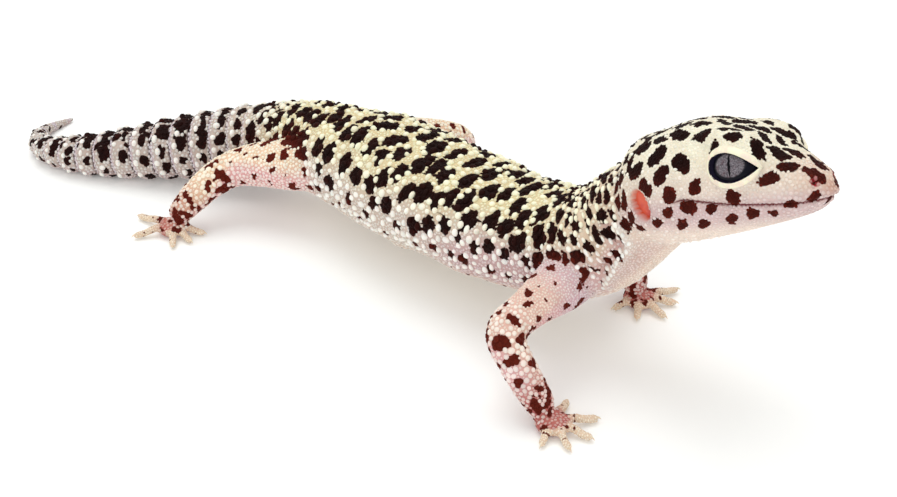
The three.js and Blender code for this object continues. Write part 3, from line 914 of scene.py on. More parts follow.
        height = z - HEAD_FORM.mouth_height(x)
        along = smooth(x, 6.6, 8.8)
        groove = -0.42 * hump(height, 0.3) * along
        lip = 0.16 * hump(height - 0.9, 0.7) * along - 0.12 * hump(height + 0.7, 0.6) * along
        ear = -1.7 * smooth(self.ear_inside(lay.local), -0.05, 0.28)
        hollow = -0.5 * at(21.8, 5.4, 4.9, 2.0)
        nose = 0.3 * at(26.6, 2.8, 3.3, 1.5) - 1.0 * at(27.05, 2.55, 2.9, 0.5)
        crown = -0.7 * hump(wide, 2.3) * smooth(x, 8, 13) * (1 - smooth(x, 20, 24)) * (z > 6)
        jowl = 0.4 * at(6.0, 10.4, 3.4, 3.6) - 0.25 * at(9.2, 10.2, 1.6, 1.3)
        temple = -0.25 * at(8.5, 7.5, 9.8, 2.6)
        dome = 0.4 * hump(x - 7, 4.5) * smooth(z, 7, 10.5)
        ridge = 0.3 * at(20.5, 4.4, 7.6, 1.5)
        return lay.on_head * (groove + lip + ear + hollow + nose + crown + jowl + temple + ridge
                              + dome)

    @staticmethod
    def gular(local: np.ndarray) -> np.ndarray:
        """How far points are in front of the fold that runs from the throat up to the ear.

        It leaves the middle of the throat, slants forward up the side to a bend, and leans back
        from there to below the ear. Points that aren't on the throat are given -9.
        """
        x, y, z = local.T
        bend_x, bend_z = -3.8, -5.5
        rise, lean = math.radians(45), math.radians(17)
        under = np.minimum(z - bend_z, 0) * math.tan(rise)
        above = np.maximum(z - bend_z, 0) * math.tan(lean)
        line = bend_x + under - above
        near = (z < -1.6) & (z > -13) & (np.abs(y) < 12) & (x > -14)
        return np.where(near, (x - line) / 1.3, -9.0)

    @staticmethod
    def ear_inside(local: np.ndarray) -> np.ndarray:
        """About how many millimetres inside the ear's rim points are: a slanting oval."""
        x, y, z = local.T
        turn = math.radians(32)
        across = (x - 1.05) * math.cos(turn) + (z - 1.15) * math.sin(turn)
        along = -(x - 1.05) * math.sin(turn) + (z - 1.15) * math.cos(turn)
        inside = (1 - np.sqrt((across / 1.75) ** 2 + (along / 2.7) ** 2)) * 1.7
        return np.where(np.abs(y) > 5, inside, -5.0)


def taken(piece: bpy.types.Object) -> Shape:
    """The shape that a helper object has with its modifiers, after which the helper goes."""
    evaluated = piece.evaluated_get(bpy.context.evaluated_depsgraph_get())
    mesh = evaluated.to_mesh()
    mesh.calc_loop_triangles()
    points = np.empty(len(mesh.vertices) * 3, "f")
    mesh.vertices.foreach_get("co", points)
    triangles = np.empty(len(mesh.loop_triangles) * 3, "i")
    mesh.loop_triangles.foreach_get("vertices", triangles)
    evaluated.to_mesh_clear()
    data = piece.data
    bpy.data.objects.remove(piece)
    bpy.data.meshes.remove(data)
    return Shape(points.reshape(-1, 3).astype(float), triangles.reshape(-1, 3), {})


@dataclass
class Spots:
    """Dark spots: flat ovals on the hide.

    Attributes:
        at: Their middles.
        long_way, short_way, normal: Their directions.
        long, short: Half their lengths and widths.
        shallow: How little they reach off the plane that they lie in.
        line: Half the width of the pale line between two spots; below 0 they may run together.
    """

    at: np.ndarray
    long_way: np.ndarray
    short_way: np.ndarray
    normal: np.ndarray
    long: np.ndarray
    short: np.ndarray
    shallow: float = 0.6
    line: float = -1.0

    def depth(self, points: np.ndarray) -> np.ndarray:
        """How many millimetres inside the nearest spot's edge each point is; below 0 outside.

        Inside a spot q = sqrt((a / long)^2 + (b / short)^2 + (c / deep)^2) is below 1, with a,
        b and c along its directions, and the depth is (1 - q) times its half width.
        """
        result = np.full(len(points), -9.0)
        ways = np.stack([self.long_way / self.long[:, None], self.short_way / self.short[:, None],
                         self.normal / np.maximum(self.long, 1.5)[:, None] * self.shallow])
        shift = np.einsum("wkc,kc->wk", ways, self.at)
        for start in range(0, len(points), 8000):
            part = points[start:start + 8000]
            q2 = sum((part @ ways[w].T - shift[w]) ** 2 for w in range(3))
            value = (1 - np.sqrt(q2)) * self.short
            best = value.max(axis=1)
            if self.line > 0:
                second = np.partition(value, -2, axis=1)[:, -2]
                best = np.minimum(best, (best - second) / 2 - self.line)
            result[start:start + 8000] = best
        return result


class Palette:
    """The hide's colours, as linear light."""

    back = linear(236, 227, 184)
    flank = linear(224, 213, 203)
    chest = linear(212, 182, 186)
    belly = linear(240, 226, 208)
    neck = linear(236, 222, 200)
    limb_top = linear(248, 228, 192)
    # The legs' undersides: their own pink, made darker as painted shade.
    limb_under_tint_and_shade = linear(238, 194, 189)
    arm = linear(230, 198, 196)
    shoulder = linear(218, 200, 208)
    wrist = linear(188, 110, 102)
    toe = linear(246, 228, 202)
    crown = linear(246, 238, 214)
    face = linear(234, 217, 202)
    snout = linear(230, 200, 180)
    nose = linear(196, 132, 100)
    jaw = linear(218, 190, 188)
    throat = linear(248, 228, 214)
    tail = linear(210, 201, 194)
    tail_band = linear(216, 202, 210)
    # The tail's underside: its own tint, made darker as painted shade.
    tail_under_tint_and_shade = linear(204, 188, 188)
    knob = linear(253, 250, 243)
    back_knob = linear(252, 249, 218)
    # The next two are the thin skin between scales: its own lilac and pink tint, darkened as painted
    # shade in the hollows between scales.
    gap = linear(238, 228, 224)
    limb_gap_tint_and_shade = linear(244, 226, 230)
    # Painted shade in the creases between the tail's rings.
    crease_shade = linear(84, 66, 70)
    ear = linear(222, 88, 54)
    # Painted shade in the crack of the closed mouth.
    mouth = linear(104, 30, 36)
    # Painted shade in the nostril's hollow.
    nostril = linear(158, 34, 48)
    # Painted shade round the eyeball, inside the lids' opening.
    socket_shade = linear(20, 15, 34)
    black = linear(14, 9, 8)
    brown = linear(90, 27, 17)


class Markings:
    """The dark spots and the colours under them, over the whole hide."""

    def __init__(self, skin: Shape, lay: Lay, seed: int = 50) -> None:
        """Places every spot.

        Args:
            skin: The finished hide.
            lay: Where its points lie.
            seed: For the places and the unevenness of the spots.
        """
        self.skin = skin
        self.lay = lay
        self.normals = skin.normals()
        self.draw = np.random.default_rng(seed)
        face = self.face_spots() + self.lid_bars()
        self.marked = np.max([spots.depth(skin.points) for spots in face], axis=0)
        self.spots = (face + self.trunk_spots() + self.tail_blocks() + self.tail_top()
                      + self.limb_spots() + self.toe_marks())

    def sown(self, zone: np.ndarray, apart: np.ndarray, stretch: np.ndarray) -> np.ndarray:
        """Numbers of hide points spread evenly over a zone, each the one with the most room.

        Args:
            zone: Above a half where spots may be.
            apart: The least distance to a neighbour, along the body.
            stretch: How many times that distance they keep across the body.

        Returns:
            The numbers of the points that were taken.
        """
        numbers = self.draw.permutation(np.nonzero(zone > 0.5)[0])[:9000]
        points, travel = self.skin.points[numbers], self.lay.travel[numbers]
        apart, stretch = apart[numbers], stretch[numbers]
        luck = self.draw.uniform(0.94, 1.0, len(numbers))
        room = np.full(len(numbers), 9.0)
        chosen = []
        while room.max() > 1:
            k = int(np.argmax(np.where(room > 1, room * luck, 0)))
            offset = points - points[k]
            along = dot(offset, travel)
            square = (offset ** 2).sum(axis=1) - along ** 2
            far = np.sqrt(along ** 2 + square / stretch ** 2) / apart
            room = np.minimum(room, far)
            chosen.append(numbers[k])
        return np.array(chosen)

    def ovals(self, picked: np.ndarray, long: np.ndarray, short: np.ndarray,
              tilt: np.ndarray) -> list:
        """Spots at hide points, long across the body and tilted by an angle in radians."""
        normal = self.normals[picked]
        along = self.lay.travel[picked]
        along = unit(along - normal * dot(along, normal)[:, None])
        across = np.cross(normal, along)
        long_way = across * np.cos(tilt)[:, None] + along * np.sin(tilt)[:, None]
        short_way = np.cross(normal, long_way)
        return [Spots(self.skin.points[picked], long_way, short_way, normal, long, short)]

    def trunk_spots(self) -> list:
        """Bars across the back, rounder and smaller down the flanks, none on the belly."""
        lay = self.lay
        place, height = lay.torso["place"], lay.height
        nape = lay.on_head * smooth(lay.local[:, 0], 0.5, -0.5)
        clear = (Hide.ear_inside(lay.local) < -1.3) & (self.marked < -0.7)
        clear &= Hide.gular(lay.local) < -0.7
        zone = (lay.on_torso + nape) * (1 - smooth(place, 98, 101)) * smooth(height, -0.74, -0.58)
        back = smooth(height, 0.1, 0.7)
        neck = 1 - smooth(place, 15, 27)
        rump = smooth(place, 82, 92)
        apart = (2.7 + 0.3 * (1 - back)) * (1 - 0.48 * neck - 0.28 * rump)
        apart = apart * (1 - 0.07 * smooth(place, 54, 40))
        picked = self.sown(zone * clear, apart, 1.25 + 0.38 * back + 0.5 * np.maximum(neck, rump))
        back, height = back[picked], height[picked]
        slim = np.maximum(neck, rump)[picked]
        size = self.draw.uniform(0.84, 1.12, len(picked)) * (0.3 + 0.7 * smooth(height, -0.68, 0.05))
        long = size * (1.6 + 0.9 * back) * (1 + 0.06 * slim)
        short = size * (1.28 + 0.32 * back) * (1 - 0.36 * slim)
        tilt = self.draw.normal(0.1, 0.16, len(picked)) * (1 - 0.5 * slim)
        spots = self.ovals(picked, long, short, tilt)
        spots[0].line = 0.21
        return spots

    def tail_blocks(self) -> list:
        """Blocks in each ring of the tail, behind its front crease, the largest on top."""
        lay = self.lay
        place = lay.torso["place"]
        phase = TORSO.ring_phase(place)
        zone = lay.on_torso * smooth(place, 101, 103) * hump(phase - 0.3, 0.14)
        zone *= smooth(lay.height, -0.95, -0.6)
        slim = smooth(place, 168, 120)
        picked = self.sown(zone * 2, 1.7 + 1.0 * slim, np.full(len(place), 1.0))
        count = len(picked)
        top = smooth(lay.height[picked], 0.0, 0.8)
        size = self.draw.uniform(0.7, 1.2, count) * (0.4 + 0.6 * slim[picked])
        size = size * (0.92 + 0.08 * smooth(place[picked], 108, 120))
        blocks = self.ovals(picked, size * (1.4 + 0.55 * top), size * (0.98 + 0.16 * top),
                            self.draw.normal(0, 0.12, count))
        blocks[0].at += lay.travel[picked] * ((0.3 - phase[picked]) * TORSO.pitch)[:, None]
        return blocks

    def tail_top(self) -> list:
        """More bars along the top of the tail, which leave only thin pale streaks there."""
        lay = self.lay
        place = lay.torso["place"]
        zone = lay.on_torso * (place > 112) * (place < 160) * smooth(lay.height, 0.66, 0.82)
        slim = smooth(place, 168, 120)
        picked = self.sown(zone, 1.5 + 0.5 * slim, np.full(len(place), 1.2))
        size = self.draw.uniform(0.7, 1.2, len(picked)) * (0.45 + 0.55 * slim[picked])
        return self.ovals(picked, size * 1.35, size * 0.62, self.draw.normal(0, 0.3, len(picked)))

    def toe_marks(self) -> list:
        """Thin bars across the toes' upper sides and the backs of the feet."""
        lay = self.lay
        zone = lay.on_foot * (lay.toe_share > 0.2) * (lay.toe_share < 0.75)
        zone *= self.normals[:, 2] > 0.55
        picked = self.sown(zone, np.full(len(zone), 1.25), np.full(len(zone), 1.5))
        size = self.draw.uniform(0.6, 1.2, len(picked)) * (1.2 - 0.7 * lay.toe_share[picked])
        return self.ovals(picked, size * 0.62, size * 0.24, self.draw.normal(0, 0.2, len(picked)))

    def limb_spots(self) -> list:
        """Spots on the legs, blotches on the forearms and shins, and bars across the wrists."""
        lay = self.lay
        share = lay.limb_place / lay.limb_length
        lower = smooth(share, 0.5, 0.62)
        wrist = smooth(share, 0.8, 0.88) * (1 - lay.on_foot)
        front = lay.nearest_limb < 2
        outer = smooth(self.normals[:, 2], -0.8, -0.3)
        palm = lay.on_foot * (lay.toe_share < 0.3) * (self.normals[:, 2] > 0.2)
        zone = (lay.on_limb + palm) * outer
        apart = np.where(front, 2.2 + 0.35 * lower, 2.35 + 0.35 * lower)
        apart = apart * (1 - 0.35 * lay.on_foot - 0.46 * wrist)
        picked = self.sown(zone, apart, 1.15 + 0.5 * wrist)
        lower, foot, wrist = lower[picked], lay.on_foot[picked], wrist[picked]
        hip = smooth(share[picked], 0.4, 0.15) * ~front[picked]
        size = self.draw.uniform(0.5 + 0.1 * lower, 1.3 - 0.12 * lower) * (0.7 + 0.4 * lower + 0.2 * hip)
        size *= (1 - 0.5 * foot) * np.where(front[picked], 0.94 + 0.05 * lower, 0.76 + 0.22 * lower)
        size *= 1 + 0.08 * wrist
        spots = self.ovals(picked, size * 1.45, size * 1.1 * (1 - 0.3 * foot - 0.5 * wrist),
                           self.draw.normal(0, 0.45, len(picked)) * (1 - 0.7 * wrist))
        spots[0].line = 0.1
        return spots

    def face_spots(self) -> list:
        """Blotches long on the crown and round on the cheeks, smaller on the jaw and throat."""
        lay = self.lay
        x, _, z = lay.local.T
        up = (self.normals @ HEAD_FORM.turn)[:, 2]
        crown = smooth(up, 0.35, 0.75)
        jaw = smooth(z, 1.4, 0.2) * (1 - crown)
        snout = smooth(x, 17, 24)
        zone = lay.on_head * (x > 0) * smooth(z, -5.2, -4.4) * smooth(up, -0.8, -0.5)
        zone *= Hide.ear_inside(lay.local) < -0.9
        for side in (1, -1):
            eye = HEAD_FORM.in_eye(lay.local, side)
            ring = OPENING.inside(eye[:, 1], eye[:, 2])
            zone *= (eye[:, 0] < 0) | (ring < -1.9)
        apart = 3.3 - 0.35 * snout - 0.45 * jaw
        picked = self.sown(zone, apart, 1 - 0.2 * crown)
        crown, jaw, snout = crown[picked], jaw[picked], snout[picked]
        count = len(picked)
        throat = smooth(z[picked], -1.0, -4.5)
        size = self.draw.uniform(0.82, 1.18, count) * (1 - 0.34 * jaw - 0.1 * snout)
        size *= 1 - 0.4 * throat
        lengthwise = self.draw.normal(np.pi / 2, 0.35, count)
        tilt = np.where(crown > 0.5, lengthwise, self.draw.uniform(0, np.pi, count))
        spots = self.ovals(picked, size * (1.65 + 0.45 * crown), size * (1.25 - 0.2 * crown), tilt)
        spots[0].shallow = 0.9
        spots[0].line = 0.16
        return spots

    def lid_bars(self, bars: int = 3, first: float = 30.0, last: float = 140.0) -> list:
        """Dark bars in an arc over each eye's lid.

        Args:
            bars: How many there are.
            first, last: The middles of the first and the last, in degrees from the front.
        """
        reach, outward = 4.1, 2.6
        rows = []
        for side in (1, -1):
            for angle in np.radians(np.linspace(first, last, bars)):
                middle = np.array([[outward, reach * math.cos(angle), reach * math.sin(angle)]])
                step = np.array([[0, -math.sin(angle), math.cos(angle)]])
                at = HEAD_FORM.out_of_eye(middle, side)
                way = HEAD_FORM.out_of_eye(middle + step, side) - at
                nearest = np.argmin(((self.skin.points - at) ** 2).sum(axis=1))
                rows.append((nearest, way[0]))
        picked = np.array([row[0] for row in rows])
        normal = self.normals[picked]
        ways = np.array([row[1] for row in rows])
        long_way = unit(ways - normal * dot(ways, normal)[:, None])
        long = self.draw.uniform(1.3, 1.8, len(rows))
        short = self.draw.uniform(0.6, 0.75, len(rows))
        return [Spots(self.skin.points[picked], long_way, np.cross(normal, long_way), normal,
                      long, short, 0.9)]

    def dark(self) -> np.ndarray:
        """How many millimetres inside the dark markings each point is; below 0 outside them."""
        points = self.skin.points
        warp = np.stack([ripple(points, 3.4, seed) for seed in (21, 22, 23)], axis=-1)
        fine = np.stack([ripple(points, 1.5, seed) for seed in (24, 25, 26)], axis=-1)
        lay = self.lay
        bent = points + (0.27 + 0.22 * lay.on_limb - 0.07 * lay.on_head)[:, None] * warp + 0.15 * fine
        depth = np.max(np.stack([spots.depth(bent) for spots in self.spots]), axis=0)
        for side in (1, -1):
            eye = HEAD_FORM.in_eye(lay.local, side)
            ring = OPENING.inside(eye[:, 1], eye[:, 2])
            near = (eye[:, 0] > 0) & (np.linalg.norm(eye, axis=1) < 7)
            clear = -0.8 + 0.35 * smooth(eye[:, 1], 2.4, 3.6)
            depth = np.where(near & (ring > clear), -1.0, depth)
        depth = np.where(Hide.ear_inside(lay.local) > -0.25, -1.0, depth)
        depth = np.where(self.nostril() < 0.6, -1.0, depth)
        return np.clip(depth, -2, 2)

    def nostril(self) -> np.ndarray:
        """How far each point is from the middle of the nearer nostril."""
        local = self.lay.local * (1, 0, 1) + np.abs(self.lay.local) * (0, 1, 0)
        return np.linalg.norm(local - (27.05, 2.55, 2.9), axis=1)

    def warmth(self) -> np.ndarray:
        """How brown the dark markings are: 0 is black, 1 a red brown."""
        lay = self.lay
        low = smooth(lay.height, 0.2, -0.5) * lay.on_torso * (lay.torso["place"] < 95)
        face = lay.on_head * smooth(lay.local[:, 2], 7.5, 2.5)
        return np.clip(0.08 + 0.35 * low + 0.42 * face + 0.95 * (lay.on_limb + lay.on_foot), 0, 1)

    def ground(self) -> np.ndarray:
        """The hide's colour between the markings, with painted shade in the eye sockets, the nostrils
        and the mouth's line, and on the undersides of the legs and tail.
        """
        lay = self.lay
        place, height = lay.torso["place"], lay.height
        patch = ripple(self.skin.points, 14.0, 31) * 0.25
        back = smooth(height + patch * 0.4, 0.05, 0.8)

        def plain(colour: np.ndarray) -> np.ndarray:
            """One colour for every point."""
            return np.tile(colour, (len(place), 1))

        chest = smooth(place, 52, 38) * smooth(height + patch * 0.4, 0.35, -0.1)
        torso = mixed(plain(Palette.flank), Palette.chest, chest * 0.85)
        torso = mixed(torso, Palette.back, back)
        torso = mixed(torso, Palette.belly, smooth(height, -0.45, -0.8))
        low = smooth(height, 0.1, -0.4) * smooth(height, -0.85, -0.6)
        neck = mixed(mixed(plain(Palette.neck), Palette.throat, smooth(height, -0.3, -0.7)),
                     Palette.chest, low * 0.5)
        torso = mixed(torso, neck, smooth(place, 26, 14) * 0.85)
        phase = TORSO.ring_phase(place)
        tail = mixed(plain(Palette.tail), Palette.tail_band, smooth(phase, 0.74, 0.86))
        # Darker on the tail's underside: partly its own tint, partly painted shade.
        tail = mixed(tail, Palette.tail_under_tint_and_shade, smooth(height, -0.1, -0.7))
        tail = mixed(tail, Palette.back, 0.25 * back * smooth(place, 112, 98))
        torso = mixed(torso, tail, smooth(place, 87, 101))
        upward = self.normals[:, 2]
        front = (lay.nearest_limb < 2) * 1.0
        # Pinker and darker on the downward faces of the legs: partly their own tint, partly painted
        # shade.
        limb = mixed(plain(Palette.limb_under_tint_and_shade), Palette.limb_top,
                     smooth(upward + patch, -0.15, 0.5) * (1 - 0.2 * front))
        limb = mixed(limb, Palette.arm, 0.4 * front)
        share = lay.limb_place / lay.limb_length
        limb = mixed(limb, Palette.shoulder, 0.8 * front * smooth(share, 0.36, 0.16))
        limb = mixed(limb, Palette.wrist, smooth(share, 0.72, 0.93) * (0.55 + 0.35 * front))
        foot = mixed(plain(Palette.wrist), Palette.toe, smooth(lay.toe_share, 0.0, 0.58))
        x, _, z = lay.local.T
        face = mixed(plain(Palette.face), Palette.crown, smooth(z, 3, 8.5))
        face = mixed(face, Palette.snout, smooth(x, 22, 27) * 0.7)
        face = mixed(face, Palette.jaw, smooth(z, 3.2, 0.2))
        face = mixed(face, Palette.nose, smooth(x, 27.4, 28.6) * hump(z - 2.4, 1.6) * 0.75)
        face = mixed(face, Palette.throat, smooth(z, -1.2, -4.2))
        colour = (lay.on_head[:, None] * face + lay.on_torso[:, None] * torso
                  + lay.on_limb[:, None] * limb + lay.on_foot[:, None] * foot)
        fold = Hide.gular(lay.local)
        colour = mixed(colour, Palette.arm, 0.8 * hump(fold + 1.7, 0.9) * (1 - lay.on_limb))
        colour = mixed(colour, Palette.knob, 0.95 * hump(fold, 0.6) * (1 - lay.on_limb))
        ear = smooth(Hide.ear_inside(lay.local), -0.1, 0.35) * (lay.on_head > 0.4)
        colour = mixed(colour, Palette.ear, ear)
        # Dark red in the nostrils' hollows: painted shade.
        colour = mixed(colour, Palette.nostril, smooth(self.nostril(), 0.95, 0.6) * lay.on_head)
        # Nearly black where the hide sinks inside the lids' opening, round the eyeball: painted shade.
        for side in (1, -1):
            eye = HEAD_FORM.in_eye(lay.local, side)
            hole = smooth(OPENING.inside(eye[:, 1], eye[:, 2]), -0.5, -0.25) * (eye[:, 0] > 0.5)
            colour = mixed(colour, Palette.socket_shade, hole)
        # A dark red line along the mouth's groove: painted shade in the crack between the lips.
        line = np.abs(z - HEAD_FORM.mouth_height(lay.local[:, 0]))
        line = smooth(line, 0.24, 0.12) * smooth(lay.local[:, 0], 7.2, 8.2) * lay.on_head
        return mixed(colour, Palette.mouth, line)

    def knob(self) -> np.ndarray:
        """The colour that large scales lean to: yellow on the back, cream white elsewhere."""
        back = smooth(self.lay.height, 0.0, 0.6) * self.lay.on_torso
        back = back * (1 - smooth(self.lay.torso["place"], 88, 104))
        return mixed(np.tile(Palette.knob, (len(back), 1)), Palette.back_knob, back)

    def gap(self, ground: np.ndarray) -> np.ndarray:
        """The colour of the thin skin between scales, pinker on the legs: its own tint, darkened as
        painted shade between the scales, with painted shade in the creases between the tail's rings.
        """
        limb = self.lay.on_limb + self.lay.on_foot * (1 - smooth(self.lay.toe_share, 0.1, 0.4))
        thin = mixed(ground * Palette.gap, ground * Palette.limb_gap_tint_and_shade, limb)
        # On the head the skin between scales is only a little darker: painted shade.
        thin = mixed(thin, ground * 0.96, self.lay.on_head)
        place = self.lay.torso["place"]
        phase = TORSO.ring_phase(place)
        # Nearly black in the creases between the tail's rings: painted shade.
        crease_shade = smooth(np.minimum(phase, 1 - phase), 0.085, 0.03) * TORSO.in_rings(place)
        thin = mixed(thin, Palette.crease_shade, crease_shade * self.lay.on_torso)
        line = smooth(ground.sum(axis=1), 0.5, 0.8)
        return mixed(ground, thin, line)


class Lump(Enum):
    """The forms of a scale: each row is the share of its width and of its height in a ring."""

    GRANULE = (6, ((1.0, -0.35), (0.78, 0.55)), 1.0)
    COBBLE = (8, ((1.0, -0.4), (0.93, 0.35), (0.6, 0.85)), 1.0)
    KNOB = (8, ((1.0, -0.4), (0.86, 0.3), (0.5, 0.82)), 1.0)

    def template(self) -> tuple:
        """The form's points, with x across, y along and z out, and its triangles."""
        around, rings, top = self.value
        angle = np.arange(around) * (2 * np.pi / around)
        rows = [np.stack([np.cos(angle) * r, -np.sin(angle) * r, np.full(around, h)], axis=-1)
                for r, h in rings]
        shape = Shape.tube(np.stack(rows))
        shape.points[-2] = (0, 0, rings[0][1])
        shape.points[-1] = (0, -0.15, top)
        return shape.points, shape.triangles


@dataclass(frozen=True)
class Crop:
    """One kind of scale, on one part of the hide.

    Attributes:
        name: The piece's name.
        lump: The form of a scale.
        apart: The least distance between scales, in millimetres.
        wide, long, high: A scale's half width, half length and height, in shares of apart.
        pale: How far its colour moves to that of a tubercle.
        hold_back: How deep in a marking it has to lie to be dark, in millimetres.
    """

    name: str
    lump: Lump
    apart: float
    wide: float
    long: float
    high: float
    pale: float = 0.12
    hold_back: float = 0.0
    uneven: float = 0.12


class Coat:
    """All the scales over the hide.

    Attributes:
        skin: The finished hide with its values.
        lay: Where its points lie.
        taken_at, taken_size: The tubercles that smaller scales keep clear of.
    """

    def __init__(self, skin: Shape, lay: Lay, seed: int = 5) -> None:
        """Gets the hide ready for sowing."""
        self.skin = skin
        self.lay = lay
        self.normals = skin.normals()
        self.draw = np.random.default_rng(seed)
        self.taken_at = np.zeros((0, 3))
        self.taken_size = np.zeros(0)
        corners = skin.points[skin.triangles]
        self.areas = np.linalg.norm(
            np.cross(corners[:, 1] - corners[:, 0], corners[:, 2] - corners[:, 0]), axis=1) / 2

    def at_random(self, zone: np.ndarray, apart: float) -> tuple:
        """Random places on the hide where zone is above a half.

        Returns:
            The triangles' numbers and the corners' weights, in random order.
        """
        share = np.clip(zone[self.skin.triangles].mean(axis=1) * 2 - 0.8, 0, 1)
        weights = self.areas * share
        count = int(weights.sum() / apart ** 2 * 9)
        picked = self.draw.choice(len(weights), size=count, p=weights / weights.sum())
        a, b = self.draw.random((2, count))
        flip = a + b > 1
        a, b = np.where(flip, 1 - a, a), np.where(flip, 1 - b, b)
        return picked, np.stack([1 - a - b, a, b], axis=-1)

    def spread(self, value: np.ndarray, picked: np.ndarray, weights: np.ndarray) -> np.ndarray:
        """A value of the hide's points at places inside its triangles."""
        corners = value[self.skin.triangles[picked]]
        if corners.ndim == 2:
            return (corners * weights).sum(axis=1)
        return (corners * weights[..., None]).sum(axis=1)

    def sow(self, crop: Crop, zone: np.ndarray, fit: np.ndarray = None,
            keep: bool = False) -> Shape:
        """One kind of scale over one zone, each clear of its neighbours.

        Args:
            crop: The kind of scale.
            zone: 1 at the hide's points where it grows, 0 elsewhere.
            fit: How the scales' size changes over the hide, 1 where left out.
            keep: Whether later, smaller scales stay clear of these.

        Returns:
            The scales as one shape with their values.
        """
        fit = np.ones(len(zone)) if fit is None else fit
        picked, weights = self.at_random(zone, crop.apart * float(fit[zone > 0.5].min()))
        at = self.spread(self.skin.points, picked, weights)
        size = self.spread(fit, picked, weights) * crop.apart
        tree = KDTree(len(at))
        for k, point in enumerate(at.tolist()):
            tree.insert(point, k)
        tree.balance()
        free = np.ones(len(at), bool)
        for point, radius in zip(self.taken_at.tolist(), self.taken_size.tolist()):
            for _, other, _ in tree.find_range(point, radius + crop.apart * crop.wide * 0.75):
                free[other] = False
        chosen = []
        places = at.tolist()
        for k, radius in enumerate(size.tolist()):
            if free[k]:
                chosen.append(k)
                for _, other, _ in tree.find_range(places[k], radius):
                    free[other] = False
        chosen = np.array(chosen)
        at, size = at[chosen], size[chosen]
        picked, weights = picked[chosen], weights[chosen]
        if keep:
            self.taken_at = np.concatenate([self.taken_at, at])
            self.taken_size = np.concatenate([self.taken_size, size * crop.wide])
        return self.grown(crop, at, size, picked, weights)

    def grown(self, crop: Crop, at: np.ndarray, size: np.ndarray, picked: np.ndarray,
              weights: np.ndarray) -> Shape:
        """The scales' meshes at their places: the form scaled, turned and tinted for each."""
        count = len(at)
        normal = unit(self.spread(self.normals, picked, weights))
        along = self.spread(self.lay.travel, picked, weights)
        along = unit(along - normal * dot(along, normal)[:, None])
        across = np.cross(normal, along)
        form, faces = crop.lump.template()
        vary = self.draw.normal(1, crop.uneven, (3, count)).clip(0.6, 1.4)
        wide, long, high = (size * share * v
                            for share, v in zip((crop.wide, crop.long, crop.high), vary))
        points = (at[:, None]
                  + across[:, None] * (wide[:, None] * form[:, 0])[..., None]
                  - along[:, None] * (long[:, None] * form[:, 1])[..., None]
                  + normal[:, None] * (high[:, None] * form[:, 2])[..., None])
        points = points.reshape(-1, 3)
        points[:, 2] = np.maximum(points[:, 2], 0.0)
        triangles = (faces[None] + (np.arange(count) * len(form))[:, None, None]).reshape(-1, 3)
        ground = self.spread(self.skin.values["ground"], picked, weights)
        knob = self.spread(self.skin.values["knob"], picked, weights)
        ground = mixed(ground, knob, np.full(count, crop.pale))
        ground = ground * self.draw.normal(1, 0.05, (count, 1)).clip(0.85, 1.12)
        gap = self.spread(self.skin.values["gap"], picked, weights)
        # The foot of each scale takes the colour of the skin between scales: painted shade round its
        # base.
        clear = np.tile(smooth(form[:, 2], -0.15, 0.36), count)
        depth = self.spread(self.skin.values["dark"], picked, weights) - crop.hold_back
        dark = np.where(depth + self.draw.normal(0, 0.05, count) > 0, 1.0, -1.0)
        warm = self.spread(self.skin.values["warm"], picked, weights)
        warm = np.clip(warm * (1 + smooth(depth, 0.5, 0.05)), 0, 1)
        root = self.spread(self.skin.values["unwrap"], picked, weights)[:, :2]
        patch = root[:, None] + form[None, :, :2] * 0.0015

        def each(value: np.ndarray) -> np.ndarray:
            """A scale's value for each of its points."""
            return np.repeat(value, len(form), axis=0)

        values = {"ground": mixed(each(gap), each(ground), clear), "dark": each(dark),
                  "warm": each(warm),
                  "tip": np.tile(np.clip(form[:, 2], 0, 1), count),
                  "OFBake": patch.reshape(-1, 2)}
        return Shape(points, triangles, values)


def unwrapped(lay: Lay) -> np.ndarray:
    """The hide laid flat: each part has its own rectangle, with its length along it and its
    angle round it, so that no two places share a spot.

    Returns:
        u, v and 0 for each point.
    """
    torso_v = (lay.torso["angle"] / (2 * np.pi) + 0.25) % 1.0
    torso_u = lay.torso["place"] / SPINE[-1][0]
    turn = np.arctan2(lay.local[:, 2], lay.local[:, 1])
    head_u = np.clip((lay.local[:, 0] + 14) / 44, 0, 1)
    head_v = (turn / (2 * np.pi) + 0.25) % 1.0
    number = lay.nearest_limb
    angle = np.stack([w["angle"] for w in lay.limbs])[number, np.arange(len(number))]
    limb_u = np.clip(lay.limb_place / 38, 0, 1)
    limb_v = (angle / (2 * np.pi) + 0.25) % 1.0
    foot = lay.points - np.array([(l.palm[0], l.palm[1], 0.0) for l in LIMBS])[number]
    foot_u = np.clip(foot[:, 0] / 24 + 0.5, 0, 1)
    foot_v = np.clip(foot[:, 1] / 24 + 0.5, 0, 1)
    shares = np.stack([lay.on_head, lay.on_torso, lay.on_limb, lay.on_foot])
    part = np.argmax(shares, axis=0)
    u = np.choose(part, [0.02 + 0.3 * head_u, 0.02 + 0.96 * torso_u,
                         0.35 + 0.15 * (number % 4) + 0.14 * limb_u,
                         0.02 + 0.24 * (number % 4) + 0.2 * foot_u])
    v = np.choose(part, [0.52 + 0.24 * head_v, 0.02 + 0.47 * torso_v,
                         0.52 + 0.24 * limb_v, 0.78 + 0.2 * foot_v])
    return np.stack([u, v, np.zeros(len(u))], axis=-1)


# ---------------------------------------------------------------- finishes


